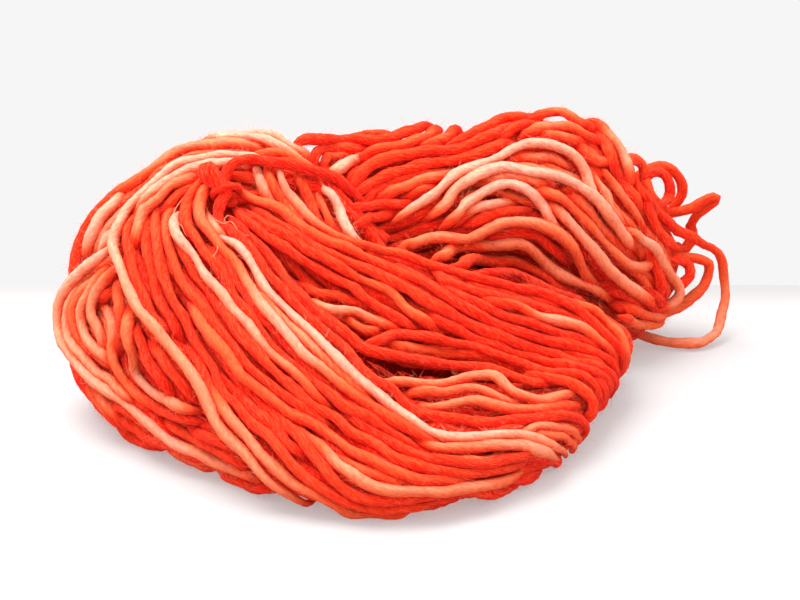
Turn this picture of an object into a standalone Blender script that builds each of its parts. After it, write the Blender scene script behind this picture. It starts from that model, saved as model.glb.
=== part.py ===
"""A hank of thick, soft singles yarn, tied once and laid down curled on a table.

The hank is one long ring of yarn, gathered by a tie at its neck. From the neck the strands fan out in
sheaves. One lobe goes left, round the left end and along the front to a fold at the lower right. The other
rises over the back to a fold at the right. Both run back underneath, which closes the ring.

Metres, +Z up, +X to the right and -Y to the front as the hank lies. The origin is on the table under the
middle of the hank's box. The tables give places and radii in millimetres, from PLAN_MIDDLE.
"""

import math

import bmesh
import bpy
from mathutils import Vector

MM = 0.001
YARN_THICKNESS = 5.0
PLAN_MIDDLE = (5.9, 8.6)      # where the origin lies in the tables' plan, x and y
CLEARANCE = 0.4               # a tie or loop is cut back this far from the sheaves that it lies on

SHEAF_SIDES = 9
SHEAF_SECTIONS = 17
FILLING_SIDES = 8
FILLING_SECTIONS = 7
STRAND_SIDES = 10
STRAND_SECTION_SPACING = 4.5

# Sheaves of the front lobe, from the outermost in. Each row has a sheaf's places x, y, z at these stations:
# root in the crown, shoulder, bend, fall, / belly, sweep, turn, heel of the fold, tuck.
FRONT_LOBE = {
    "outer_fall": ((-76, 20, 78), (-90, 5, 67), (-94, -9, 53), (-84, -28, 41),
                   (-47, -60, 18), (-10, -76, 11), (26, -63, 11), (54, -36, 10), (44, -18, 10)),
    "middle_fall": ((-70, 22, 80), (-79, 2, 70), (-80, -12, 56), (-62, -34, 42),
                    (-38, -50, 28), (-6, -60, 18), (28, -49, 16), (61, -27, 12), (50, -10, 10)),
    "inner_fall": ((-64, 22, 80), (-70, -1, 67), (-60, -18, 53), (-36, -37, 38),
                   (-8, -48, 26), (18, -46, 21), (44, -34, 18), (66, -19, 15), (54, -4, 11)),
    "ribbon": ((-58, 22, 80), (-61, -2, 65), (-48, -15, 53), (-22, -29, 39),
               (2, -37, 27), (24, -34, 21), (48, -24, 18), (70, -11, 16), (58, 1, 12)),
    "slant": ((-51, 22, 80), (-49, 2, 65), (-33, -10, 49), (-9, -20, 33),
              (14, -22, 24), (34, -19, 20), (55, -11, 18), (74, -2, 17), (62, 7, 12)),
    "upper_slant": ((-44, 23, 79), (-37, 5, 64), (-19, -6, 48), (7, -12, 37),
                    (32, -9, 28), (49, -3, 23), (64, 3, 20), (79, 10, 18), (66, 18, 12)),
    "top_slant": ((-37, 25, 77), (-28, 10, 64), (-10, 2, 53), (17, -3, 43),
                  (40, 1, 35), (57, 6, 29), (71, 11, 24), (82, 17, 19), (70, 24, 12)),
    "ridge": ((-31, 28, 74), (-20, 15, 62), (0, 8, 52), (26, 7, 45),
              (46, 10, 38), (60, 14, 33), (72, 18, 27), (82, 23, 20), (72, 30, 12)),
}
FRONT_RADII = (9, 12, 13, 13, 13, 12, 12, 11, 9)

# Sheaves that come up out of the valley behind the neck, go left over the crown and round the left end,
# and pass under the falls. Stations: root, neck, crown, brow, / temple, cheek, jaw, chin.
LEFT_LOBE = {
    "crown": ((-14, 30, 54), (-31, 25, 76), (-53, 22, 84), (-78, 17, 80),
              (-97, 10, 63), (-103, 0, 41), (-88, -26, 20), (-48, -55, 11)),
    "rim": ((-10, 40, 66), (-30, 34, 80), (-55, 33, 89), (-84, 28, 82),
            (-107, 19, 63), (-114, 6, 37), (-98, -17, 16), (-62, -45, 11)),
    "outer_rim": ((-8, 52, 62), (-30, 43, 73), (-57, 43, 78), (-86, 38, 70),
                  (-109, 24, 48), (-112, 8, 23), (-96, -12, 11), (-60, -36, 11)),
    "left_back": ((-8, 62, 50), (-29, 50, 58), (-58, 51, 59), (-86, 45, 49),
                  (-106, 27, 31), (-105, 7, 13), (-88, -10, 12), (-56, -26, 12)),
    "left_under": ((-8, 64, 32), (-28, 53, 37), (-56, 55, 36), (-84, 46, 28),
                   (-101, 27, 15), (-92, 8, 12), (-68, -8, 12), (-40, -20, 14)),
    "left_sole": ((-8, 58, 14), (-29, 48, 16), (-54, 48, 15), (-78, 37, 12),
                  (-90, 18, 11), (-80, 0, 12), (-56, -10, 12), (-30, -16, 13)),
}
LEFT_RADII = (8, 11, 12, 13, 13, 13, 12, 11)

# Sheaves of the back lobe, from the valley side over to the table behind.
# Stations: root in the left lobe, neck, rise, dome, / shoulder, drop, heel of the fold, tuck.
BACK_LOBE = {
    "valley": ((-34, 28, 46), (-14, 34, 48), (14, 40, 46), (42, 44, 42),
               (64, 48, 36), (84, 52, 27), (97, 58, 17), (86, 62, 12)),
    "front_arc": ((-34, 31, 52), (-14, 38, 57), (11, 42, 61), (36, 44, 64),
                  (60, 46, 56), (81, 51, 42), (98, 59, 23), (88, 65, 12)),
    "middle_arc": ((-36, 34, 58), (-16, 42, 64), (7, 47, 69), (32, 50, 75),
                   (58, 51, 73), (82, 56, 57), (101, 65, 30), (92, 70, 12)),
    "high_arc": ((-40, 37, 66), (-19, 46, 71), (2, 54, 77), (28, 59, 82),
                 (56, 62, 86), (82, 65, 72), (104, 71, 38), (96, 76, 12)),
    "top_arc": ((-43, 40, 72), (-23, 51, 79), (-2, 60, 83), (24, 68, 82),
                (57, 74, 88), (84, 76, 75), (104, 78, 40), (98, 80, 12)),
    "back_arc": ((-44, 45, 60), (-22, 56, 65), (2, 70, 70), (30, 80, 71),
                 (58, 86, 72), (84, 85, 57), (102, 82, 30), (92, 78, 12)),
    "back_wall": ((-44, 50, 46), (-22, 58, 49), (4, 75, 53), (32, 87, 53),
                  (60, 92, 50), (84, 89, 37), (98, 83, 18), (88, 78, 12)),
    "back_foot": ((-42, 50, 30), (-20, 57, 32), (6, 74, 34), (34, 87, 32),
                  (62, 91, 28), (84, 86, 18), (90, 78, 12), (80, 74, 12)),
    "back_sole": ((-40, 44, 15), (-18, 52, 14), (10, 68, 12), (38, 80, 11),
                  (62, 82, 11), (80, 78, 11), (84, 70, 12), (74, 66, 14)),
}
BACK_RADII = (8, 11, 13, 13, 13, 12, 11, 8)

# The strands that run back underneath and fill the lobes. Rows of x, y, z, radius.
FILLING = {
    "left_core": ((-86, 8, 38, 20), (-60, 12, 46, 30), (-28, 14, 44, 34),
                  (4, 10, 32, 27), (38, 8, 22, 18), (64, 12, 16, 11)),
    "right_core": ((-24, 30, 44, 27), (10, 52, 42, 27), (44, 64, 44, 29), (76, 68, 34, 22), (90, 70, 20, 10)),
    "front_sole": ((-80, -8, 14, 15), (-44, -30, 15, 17), (-8, -44, 16, 17),
                   (26, -34, 13, 14), (52, -20, 11, 11)),
    "middle_sole": ((-80, 12, 18, 19), (-44, 10, 20, 22), (-4, 6, 18, 20), (34, 6, 14, 16), (66, 12, 11, 12)),
    "valley_sole": ((-32, 34, 18, 18), (-4, 36, 20, 22), (34, 38, 18, 20),
                    (66, 46, 14, 15), (82, 52, 12, 10)),
}

# The tie: the same yarn wrapped once over the neck, with a knot at the front left. A short free end stands
# up out of the knot, and the other end runs down among the strands. Rows of x, y, z.
TIE_WRAP = ((-64, 7, 86), (-64, 10, 93), (-59, 13, 97), (-49, 15, 96), (-40, 17, 94),
            (-30, 21, 90), (-22, 26, 84), (-16, 32, 76), (-12, 34, 64))
TIE_FREE_END = ((-62, 6, 85), (-67, 7, 90), (-71, 9, 97))
TIE_TAIL = ((-64, 7, 87), (-66, 2, 81), (-64, -3, 75), (-59, -7, 68), (-52, -9, 60))
TIE_KNOT = ((-60, 8, 84), (-63.5, 6, 86.5), (-67, 5, 88.5))
KNOT_RADIUS = 4.0

# Loose loops that stand out of the right-hand fold, each one strand. Both ends go into the hank.
LOOPS = {
    "loop_table": ((92, 65, 70), (102, 67, 61), (108, 69, 55), (114, 71, 50), (120, 73, 47), (126, 76, 43),
                   (132, 79, 38), (135, 81, 30), (136.5, 80, 21), (136, 77, 13), (133, 72, 6.5), (127, 66, 3),
                   (119, 64, 2.7), (111, 66, 2.7), (104, 70, 3), (97, 74, 5), (88, 77, 10)),
    "loop_tip": ((94, 77, 57), (102, 80, 55), (108, 81, 54), (114, 82, 54), (120, 82, 56), (126, 82, 60),
                 (129.5, 82, 61.5), (131, 83, 60), (128, 84, 57), (124, 85, 53), (122, 86, 48), (122, 86, 43),
                 (119, 84, 38), (113, 81, 36), (106, 78, 36), (96, 74, 37)),
    "loop_small": ((94, 80, 66), (102, 84, 72), (107, 86, 73), (112, 87, 71), (115.5, 88, 67),
                   (117, 88.5, 62), (116, 89, 57), (112, 88, 52), (106, 86, 48), (97, 82, 45)),
    "loop_low": ((100, 68, 40), (110, 70, 40), (117, 72, 38), (124, 74, 37), (128, 75, 34), (128, 75, 28),
                 (125, 74, 23), (120, 72, 19), (114, 70, 16), (107, 68, 14), (97, 66, 12)),
}

TABLE_SIZE = (0.6, 0.6, 0.1)  # metres
MERGE_DISTANCE = 0.00001      # metres
WOOL_ROUGHNESS = 0.95
SHARP_ANGLE = math.radians(50)
VERMILION = (0.90, 0.08, 0.02)
PEACH = (1.0, 0.36, 0.18)


def smooth_rows(places, count):
    """Rows spaced evenly along a smooth curve through the places, which are x, y, z, radius."""
    knots = [Vector(place) for place in places]
    knots = [knots[0] * 2 - knots[1]] + knots + [knots[-1] * 2 - knots[-2]]
    steps = 24
    fine = []
    for before, start, end, after in zip(knots, knots[1:], knots[2:], knots[3:]):
        for step in range(steps):
            t = step / steps
            bend = 2 * before - 5 * start + 4 * end - after
            fine.append(0.5 * (2 * start + (end - before) * t + bend * t ** 2
                               + (3 * start - before - 3 * end + after) * t ** 3))
    fine.append(knots[-2])
    lengths = [0.0]
    for start, end in zip(fine, fine[1:]):
        lengths.append(lengths[-1] + (end - start).xyz.length)
    rows = []
    index = 0
    for number in range(count):
        target = lengths[-1] * number / (count - 1)
        while index < len(fine) - 2 and lengths[index + 1] < target:
            index += 1
        share = (target - lengths[index]) / (lengths[index + 1] - lengths[index])
        rows.append(fine[index].lerp(fine[index + 1], share))
    return rows


def add_tube(mesh, rows, sides, growth):
    """Adds a closed round tube through rows of x, y, z, radius, made larger all round by the growth."""
    last = len(rows) - 1
    tangents = [(rows[min(i + 1, last)] - rows[max(i - 1, 0)]).xyz.normalized() for i in range(last + 1)]
    side = tangents[0].orthogonal().normalized()
    rings = []
    for index, row in enumerate(rows):
        tangent = tangents[index]
        centre = Vector((row[0] - PLAN_MIDDLE[0], row[1] - PLAN_MIDDLE[1], row[2]))
        if index == 0:
            centre -= tangent * growth
        else:
            side = tangents[index - 1].rotation_difference(tangent) @ side
        if index == last:
            centre += tangent * growth
        up = tangent.cross(side)
        ring = []
        for number in range(sides):
            angle = 2 * math.pi * number / sides
            spoke = (side * math.cos(angle) + up * math.sin(angle)) * (row[3] + growth)
            ring.append(mesh.verts.new((centre + spoke) * MM))
        rings.append(ring)
    for near, far in zip(rings, rings[1:]):
        for number in range(sides):
            following = (number + 1) % sides
            mesh.faces.new((near[number], near[following], far[following], far[number]))
    mesh.faces.new(list(reversed(rings[0])))
    mesh.faces.new(rings[-1])


def new_piece(name, mesh):
    """An object in the scene that takes over the bmesh."""
    data = bpy.data.meshes.new(name)
    mesh.to_mesh(data)
    mesh.free()
    piece = bpy.data.objects.new(name, data)
    bpy.context.scene.collection.objects.link(piece)
    return piece


def hank_tubes(name, growth):
    """A guide collection with one closed tube for each sheaf and each run of filling."""
    tubes = bpy.data.collections.new(name)
    bpy.context.scene.collection.children.link(tubes)
    runs = []
    for lobe, radii in ((FRONT_LOBE, FRONT_RADII), (LEFT_LOBE, LEFT_RADII), (BACK_LOBE, BACK_RADII)):
        for sheaf, places in lobe.items():
            rows = [(*place, radius) for place, radius in zip(places, radii)]
            runs.append((sheaf, smooth_rows(rows, SHEAF_SECTIONS), SHEAF_SIDES))
    for filling, rows in FILLING.items():
        runs.append((filling, smooth_rows(rows, FILLING_SECTIONS), FILLING_SIDES))
    for run, rows, sides in runs:
        mesh = bmesh.new()
        add_tube(mesh, rows, sides, growth)
        tube = new_piece(f"{name}_{run}", mesh)
        bpy.context.scene.collection.objects.unlink(tube)
        tubes.objects.link(tube)
        tube.hide_render = True
        tube.display_type = "WIRE"
    return tubes


def combine(piece, operation, cutter):
    """Adds an exact Boolean to a piece, with a cutter or with a whole collection of tubes."""
    boolean = piece.modifiers.new(operation.title(), "BOOLEAN")
    boolean.operation = operation
    boolean.solver = "EXACT"
    if isinstance(cutter, bpy.types.Collection):
        boolean.operand_type = "COLLECTION"
        boolean.collection = cutter
    else:
        boolean.object = cutter


def settle(piece):
    """Applies a piece's Booleans and keeps its largest body, without the small hollows shut inside it."""
    graph = bpy.context.evaluated_depsgraph_get()
    mesh = bmesh.new()
    mesh.from_mesh(piece.evaluated_get(graph).to_mesh())
    piece.modifiers.clear()
    bodies = []
    unseen = set(mesh.verts)
    while unseen:
        body = {unseen.pop()}
        edge_of_body = list(body)
        while edge_of_body:
            for edge in edge_of_body.pop().link_edges:
                for vertex in edge.verts:
                    if vertex in unseen:
                        unseen.remove(vertex)
                        body.add(vertex)
                        edge_of_body.append(vertex)
        bodies.append(body)
    largest = max(bodies, key=len)
    bmesh.ops.delete(mesh, geom=[vertex for vertex in mesh.verts if vertex not in largest], context="VERTS")
    bmesh.ops.dissolve_degenerate(mesh, dist=MERGE_DISTANCE, edges=mesh.edges)
    mesh.to_mesh(piece.data)
    mesh.free()


def finish(piece, colour):
    """Gives a piece its own matt wool material and smooth shading."""
    material = bpy.data.materials.new(piece.name)
    material.use_nodes = True
    shader = material.node_tree.nodes["Principled BSDF"]
    shader.inputs["Base Color"].default_value = (*colour, 1)
    shader.inputs["Roughness"].default_value = WOOL_ROUGHNESS
    shader.inputs["Metallic"].default_value = 0
    piece.data.materials.clear()
    piece.data.materials.append(material)
    piece.data.shade_smooth()
    piece.data.set_sharp_from_angle(angle=SHARP_ANGLE)


def make_table_cutter():
    """A block whose top is the table, which cuts the hank's underside flat where it rests."""
    mesh = bmesh.new()
    bmesh.ops.create_cube(mesh, size=1)
    bmesh.ops.scale(mesh, vec=TABLE_SIZE, verts=mesh.verts)
    bmesh.ops.translate(mesh, vec=(0, 0, -TABLE_SIZE[2] / 2), verts=mesh.verts)
    table = new_piece("table_cutter", mesh)
    table.hide_render = True
    table.display_type = "WIRE"
    return table


def make_hank(table):
    """The whole wound form: the sheaves and the filling joined into one solid, flat underneath."""
    tubes = hank_tubes("wound", 0)
    hank = tubes.objects[0]
    tubes.objects.unlink(hank)
    bpy.context.scene.collection.objects.link(hank)
    hank.name = "hank"
    hank.hide_render = False
    hank.display_type = "TEXTURED"
    combine(hank, "UNION", tubes)
    combine(hank, "DIFFERENCE", table)
    settle(hank)
    finish(hank, VERMILION)


def strand_mesh(places, radius=YARN_THICKNESS / 2):
    """One strand along the places x, y, z, with its sections spaced evenly."""
    length = sum((Vector(end) - Vector(start)).length for start, end in zip(places, places[1:]))
    count = max(4, round(length / STRAND_SECTION_SPACING) + 1)
    mesh = bmesh.new()
    add_tube(mesh, smooth_rows([(*place, radius) for place in places], count), STRAND_SIDES, 0)
    return mesh


def make_tie(cutter):
    """The wrap, the tail and the short free end, joined in the knot and cut clear of the hank."""
    tie = new_piece("tie", strand_mesh(TIE_WRAP))
    arms = (("tie_tail", TIE_TAIL, YARN_THICKNESS / 2), ("tie_free_end", TIE_FREE_END, YARN_THICKNESS / 2),
            ("tie_knot", TIE_KNOT, KNOT_RADIUS))
    for name, places, radius in arms:
        arm = new_piece(name, strand_mesh(places, radius))
        arm.hide_render = True
        arm.display_type = "WIRE"
        combine(tie, "UNION", arm)
    combine(tie, "DIFFERENCE", cutter)
    settle(tie)
    finish(tie, VERMILION)


def make_loops(cutter, table):
    """The loose loops, each cut off where it enters the hank."""
    for name, places in LOOPS.items():
        loop = new_piece(name, strand_mesh(places))
        combine(loop, "DIFFERENCE", cutter)
        combine(loop, "DIFFERENCE", table)
        settle(loop)
        finish(loop, PEACH)


for old in list(bpy.data.objects):
    bpy.data.objects.remove(old)

table_cutter = make_table_cutter()
make_hank(table_cutter)
hank_cutter = hank_tubes("clear", CLEARANCE)
make_tie(hank_cutter)
make_loops(hank_cutter, table_cutter)
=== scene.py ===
import math

import bpy
import numpy as np
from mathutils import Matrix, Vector, kdtree
from mathutils.bvhtree import BVHTree


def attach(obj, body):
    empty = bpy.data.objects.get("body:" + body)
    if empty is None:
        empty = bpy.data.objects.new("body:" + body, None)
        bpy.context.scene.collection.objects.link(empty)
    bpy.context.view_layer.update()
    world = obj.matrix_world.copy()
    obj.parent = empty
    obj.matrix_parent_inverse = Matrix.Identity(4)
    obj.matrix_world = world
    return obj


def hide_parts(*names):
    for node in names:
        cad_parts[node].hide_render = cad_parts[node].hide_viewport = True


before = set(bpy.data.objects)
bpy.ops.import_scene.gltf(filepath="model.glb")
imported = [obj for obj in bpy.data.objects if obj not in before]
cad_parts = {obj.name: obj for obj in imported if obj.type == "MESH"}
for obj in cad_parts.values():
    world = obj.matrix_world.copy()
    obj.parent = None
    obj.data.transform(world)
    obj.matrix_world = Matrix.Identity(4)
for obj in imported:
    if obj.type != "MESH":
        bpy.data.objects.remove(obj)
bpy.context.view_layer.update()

# ---- The view -------------------------------------------------------------------------------------------
# A hank of thick, soft, hand-dyed wool lies curled on a white table, with its loose loops to the right.
# The camera stands a little over half a metre away and looks 21 degrees down at the middle of it.

MM = 0.001
PLAN_MIDDLE = np.array((5.9, 8.6, 0))     # where the origin lies in the plan that all tables below use, mm
VIEW_TARGET = np.array((0, 0, 47))        # plan, mm
VIEW_DISTANCE = 620                       # mm
VIEW_DOWN = math.radians(21)
PIXEL_SIZE = 0.37                         # mm, at the target
PICTURE_WIDTH = 800                       # pixels
SENSOR = 36                               # mm


def from_plan(places):
    """Places in the plan's millimetres as metres from the origin."""
    return (np.asarray(places, float) - PLAN_MIDDLE) * MM


def placed(name, data):
    """A new object in the scene, at the origin."""
    thing = bpy.data.objects.new(name, data)
    bpy.context.collection.objects.link(thing)
    return thing


camera_data = bpy.data.cameras.new("camera")
camera_data.sensor_width = SENSOR
camera_data.lens = VIEW_DISTANCE / PIXEL_SIZE / PICTURE_WIDTH * SENSOR
camera = placed("camera", camera_data)
back_off = VIEW_DISTANCE * np.array((0, -math.cos(VIEW_DOWN), math.sin(VIEW_DOWN)))
camera.location = from_plan(VIEW_TARGET + back_off)
camera.rotation_euler = (math.pi / 2 - VIEW_DOWN, 0, 0)
bpy.context.scene.camera = camera


# ---- The loose loops ------------------------------------------------------------------------------------
# Four single strands of the hank slip out of its right-hand fold and stand or lie clear of it. The yarn is
# one thick ply of wool, softly twisted and uneven, dyed from vermilion to pale peach along its length.
# Both ends of a loop go back into the hank, so nothing holds it but the turns around it.

YARN_RADIUS = 2.45            # mm
LOOP_RADIUS = 2.2             # mm, since a loop that hangs free is drawn out a little
STRAND_SIDES = 10
RING_SPACING = 2.1            # mm
POINT_SPACING = 3.0           # mm
LOOP_STEPS = 400              # places at which a loop's smooth curve is worked out
TWIST_PITCH = 48              # mm for one turn of the fibres round the strand
THICKNESS_SPREAD = 0.06       # of the radius, from one strand to the next
SLUBS = ((12, 0.07), (3, 0.055))      # thick and thin places: rings they reach over, share of the radius
THINNEST, THICKEST = 0.76, 1.25
OVAL = 0.06                   # of the radius, by which a strand is pressed out of round
LUMPS = 0.045                 # of the radius, where the felted surface bulges
TIP = 0.75                    # how thick the last ring at each end is
CRIMP = 0.32                  # mm that the yarn's small kinks take it aside
CRIMP_REACH = 4               # rings that a kink reaches over
PAINTED_TOP_LIGHT = 0.22             # painted light and shade: how much paler a strand's top is drawn than its side
UNPAINTED_SLOPE = 0.4              # how far up its side a strand is drawn as pale as the tables say, without painted light or shade
PAINTED_CREVICE_SHADE = 0.55                # painted shade: how much deeper red a strand is drawn where another strand leaves no room
CREVICE_SHADE_REACH = 2.2                  # mm off a strand within which others leave no room, and so cast that painted shade
UNEVEN_DYE = (8, 0.025)       # rings over which the dye changes, and how much
FIBRE_SHIFT = 37.0            # mm, so that no two strands of a mesh have the same fibres
ASLANT = (0.31, 0.17, 0.93)   # a direction that no strand starts in
SEED = 12
rng = np.random.default_rng(SEED)

LOOPS = {
    "loop_table": ((92, 65, 70), (102, 67, 61), (108, 69, 55), (114, 71, 50), (120, 73, 47), (126, 76, 43),
                   (132, 79, 38), (135, 81, 30), (136.5, 80, 21), (136, 77, 13), (133, 72, 6.5), (127, 66, 3),
                   (119, 64, 2.7), (111, 66, 2.7), (104, 70, 3), (97, 74, 5), (88, 77, 10)),
    "loop_tip": ((94, 77, 57), (102, 80, 55), (108, 81, 54), (114, 82, 54), (120, 82, 56), (126, 82, 60),
                 (129.5, 82, 61.5), (131, 83, 60), (128, 84, 57), (124, 85, 53), (122, 86, 48), (122, 86, 43),
                 (119, 84, 38), (113, 81, 36), (106, 78, 36), (96, 74, 37)),
    "loop_small": ((94, 80, 66), (102, 84, 72), (107, 86, 73), (112, 87, 71), (115.5, 88, 67),
                   (117, 88.5, 62), (116, 89, 57), (112, 88, 52), (106, 86, 48), (97, 82, 45)),
    "loop_low": ((100, 68, 40), (110, 70, 40), (117, 72, 38), (124, 74, 37), (128, 75, 34), (128, 75, 28),
                 (125, 74, 23), (120, 72, 19), (114, 70, 16), (107, 68, 14), (97, 66, 12)),
}
# How pale the dye is along each loop, from 0 for vermilion to 1 for the palest peach.
LOOP_DYES = {
    "loop_table": (0.1, 0.15, 0.3, 0.7, 0.75, 0.7, 0.55),
    "loop_tip": (0.15, 0.3, 0.4, 0.25, 0.15),
    "loop_small": (0.3, 0.35, 0.3, 0.2),
    "loop_low": (0.25, 0.4, 0.6, 0.5),
}
DYE_AND_SHADE_STEPS = (-0.4, 0, 0.3, 0.55, 0.78, 1)     # below 0 for painted shade, the dark red of turns deep inside the hank
DYE_AND_SHADE_COLOURS = np.array(((0.10, 0.001, 0.002), (0.95, 0.006, 0.002), (0.97, 0.032, 0.005),
                        (0.98, 0.13, 0.040), (0.98, 0.30, 0.165), (0.99, 0.45, 0.32)))


def curve_points(places, positions):
    """Points on the smooth curve through places, at positions counted in places from its start."""
    places = np.asarray(places, float)
    padded = np.vstack((2 * places[0] - places[1], places, 2 * places[-1] - places[-2]))
    first = np.clip(np.floor(positions).astype(int), 0, len(places) - 2)
    t = (np.asarray(positions) - first)[:, None]
    before, start, end, after = (padded[first + step] for step in range(4))
    return 0.5 * (2 * start + (end - before) * t + (2 * before - 5 * start + 4 * end - after) * t ** 2
                  + (3 * start - before - 3 * end + after) * t ** 3)


def evenly(places, count):
    """That many points on the smooth curve through places."""
    return curve_points(places, np.linspace(0, len(places) - 1, count))


def spread(values, count):
    """The values drawn out evenly to that many."""
    return np.interp(np.linspace(0, 1, count), np.linspace(0, 1, len(values)), values)


def steps_of(line):
    """The lengths of a line's steps from point to point."""
    return np.linalg.norm(np.diff(line, axis=0), axis=1)


def respaced(line, spacing):
    """The line's points set evenly, about one spacing apart."""
    along = np.concatenate(((0,), np.cumsum(steps_of(line))))
    count = max(4, round(along[-1] / spacing) + 1)
    return np.column_stack([np.interp(np.linspace(0, along[-1], count), along, axis) for axis in line.T])


def wander(count, reach, amount):
    """A smooth random line of count values about zero, which changes over about one reach of values."""
    return evenly(rng.normal(0, amount, (int(count / reach) + 3, 1)), count)[:, 0]


def dye_and_shade_colour(paleness):
    """The wool's colour where the dye is that pale, and painted shade where the paleness is below 0."""
    return np.column_stack([np.interp(paleness, DYE_AND_SHADE_STEPS, channel) for channel in DYE_AND_SHADE_COLOURS.T])


def carried(line):
    """Two directions across the line at each of its points, which turn no more than the line does."""
    along = np.gradient(line, axis=0)
    along /= np.linalg.norm(along, axis=1)[:, None]
    across = np.empty_like(line)
    side = np.cross(along[0], ASLANT)
    for index, direction in enumerate(along):
        side = side - direction * (side @ direction)
        side /= math.sqrt(side @ side)
        across[index] = side
    return across, np.cross(along, across)


class Strand:
    """One run of yarn: its line in metres, how pale it is along that line, and its thickness.

    A firm strand pushes others more than they push it, and swell is how its thickness changes along it.
    """

    def __init__(self, line, paleness, radius=YARN_RADIUS, firm=1, swell=(1, 1)):
        self.line = line
        self.paleness = paleness
        self.radius = radius * rng.uniform(1 - THICKNESS_SPREAD, 1 + THICKNESS_SPREAD)
        self.firm = firm
        self.swell = swell
        self.drawn = None

    def fine(self):
        """The strand at ring spacing: line, radii, how pale it is and distances in millimetres."""
        length = steps_of(self.line).sum() / MM
        count = max(4, round(length / RING_SPACING) + 1)
        line = evenly(self.line, count)
        line = line + np.column_stack([wander(count, CRIMP_REACH, CRIMP * MM) for _ in range(3)])
        line[:, 2] = np.maximum(line[:, 2], self.radius * MM)
        slubs = sum((wander(count, *slub) for slub in SLUBS), 1)
        radii = self.radius * spread(self.swell, count) * np.clip(slubs, THINNEST, THICKEST)
        paleness = spread(self.paleness, count) + wander(count, *UNEVEN_DYE)
        return line, radii, paleness, np.linspace(0, length, count)


def give_dye_and_shade(mesh, colours):
    """Stores the colour of the dye, with its painted light and shade, at each point of the mesh."""
    dye_and_shade = mesh.color_attributes.new("dye_and_shade", "FLOAT_COLOR", "POINT")
    colours = np.column_stack((colours, np.ones(len(colours))))
    dye_and_shade.data.foreach_set("color", colours.astype(np.float32).ravel())


def spin(name, strands, beside=None):
    """One mesh of soft round strands, closed at their ends, with the dye, its painted light and shade, and
    the lie of the fibres.

    Painted light makes a strand's top paler, and painted shade makes its lower side, and the narrow room
    between it and those beside it, deeper red.
    """
    points, faces, colours, fibres = [], [], [], []
    start = 0
    around = np.arange(STRAND_SIDES) / STRAND_SIDES * 2 * math.pi
    side = np.arange(STRAND_SIDES)
    following = np.roll(side, -1)
    for number, strand in enumerate(strands):
        if strand.drawn is None:
            strand.drawn = strand.fine()
        line, radii, paleness, along = strand.drawn
        across, up = carried(line)
        angle = around + 2 * math.pi * along[:, None] / TWIST_PITCH + rng.uniform(0, 6)
        lumps = 1 + OVAL * np.cos(2 * around) + rng.normal(0, LUMPS, (len(line), STRAND_SIDES))
        spokes = (radii * MM)[:, None, None] * lumps[:, :, None]
        outward = np.cos(angle)[..., None] * across[:, None] + np.sin(angle)[..., None] * up[:, None]
        rings = line[:, None] + spokes * outward
        for end in (0, -1):
            rings[end] = line[end] + (rings[end] - line[end]) * TIP
        points.append(rings.reshape(-1, 3))
        # Painted light and shade: a strand's top is drawn paler and its lower side deeper red.
        pale = paleness[:, None] + PAINTED_TOP_LIGHT * (outward[..., 2] - UNPAINTED_SLOPE)
        # Painted shade: deeper red where other strands leave no room beside it.
        if beside:
            off = (radii + CREVICE_SHADE_REACH) * MM
            felt = line[:, None] + outward * off[:, None, None]
            room = np.array([beside.find(place)[2] for place in felt.reshape(-1, 3).tolist()])
            pale -= PAINTED_CREVICE_SHADE * (1 - room.reshape(pale.shape) / off[:, None])
        pale = np.maximum(pale, np.minimum(paleness, 0)[:, None])
        colours.append(dye_and_shade_colour(pale.ravel()))
        fibre = np.broadcast_arrays(YARN_RADIUS * np.cos(around), YARN_RADIUS * np.sin(around),
                                    along[:, None] + FIBRE_SHIFT * number)
        fibres.append(np.stack(fibre, axis=-1).reshape(-1, 3))
        near = start + np.arange(len(line) - 1)[:, None] * STRAND_SIDES
        faces += np.stack((near + side, near + following, near + STRAND_SIDES + following,
                           near + STRAND_SIDES + side), axis=-1).reshape(-1, 4).tolist()
        last = start + (len(line) - 1) * STRAND_SIDES
        faces.append(list(range(start + STRAND_SIDES - 1, start - 1, -1)))
        faces.append(list(range(last, last + STRAND_SIDES)))
        start = last + STRAND_SIDES
    mesh = bpy.data.meshes.new(name)
    mesh.from_pydata(np.concatenate(points).tolist(), [], faces)
    give_dye_and_shade(mesh, np.concatenate(colours))
    lie = mesh.attributes.new("fibre", "FLOAT_VECTOR", "POINT")
    lie.data.foreach_set("vector", np.concatenate(fibres).astype(np.float32).ravel())
    mesh.shade_smooth()
    return placed(name, mesh)


class Value:
    """A socket in a material's node tree. Sums on it add Math nodes, and node() adds any other node."""

    def __init__(self, tree, socket):
        self.tree = tree
        self.socket = socket

    def node(self, kind, settings=None, output=0, **inputs):
        """The output of a new node.

        An input is named by its socket, with _ for a space, or by its place, such as at2.
        """
        node = self.tree.nodes.new(kind)
        for name, setting in (settings or {}).items():
            setattr(node, name, setting)
        for name, value in inputs.items():
            target = node.inputs[int(name[2:]) if name.startswith("at") else name.replace("_", " ")]
            if isinstance(value, Value):
                self.tree.links.new(value.socket, target)
            else:
                target.default_value = value
        return Value(self.tree, node.outputs[output])

    def sum(self, operation, first, second):
        return self.node("ShaderNodeMath", {"operation": operation}, at0=first, at1=second)

    def __add__(self, other):
        return self.sum("ADD", self, other)

    def __sub__(self, other):
        return self.sum("SUBTRACT", self, other)

    def __rsub__(self, other):
        return self.sum("SUBTRACT", other, self)

    def __mul__(self, other):
        return self.sum("MULTIPLY", self, other)

    __radd__ = __add__
    __rmul__ = __mul__


def new_material(name, **inputs):
    """A material, the start of its node tree, and its shader with these inputs."""
    material = bpy.data.materials.new(name)
    material.use_nodes = True
    shader = material.node_tree.nodes["Principled BSDF"]
    for socket, value in inputs.items():
        shader.inputs[socket.replace("_", " ")].default_value = value
    return material, Value(material.node_tree, None), shader


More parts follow.
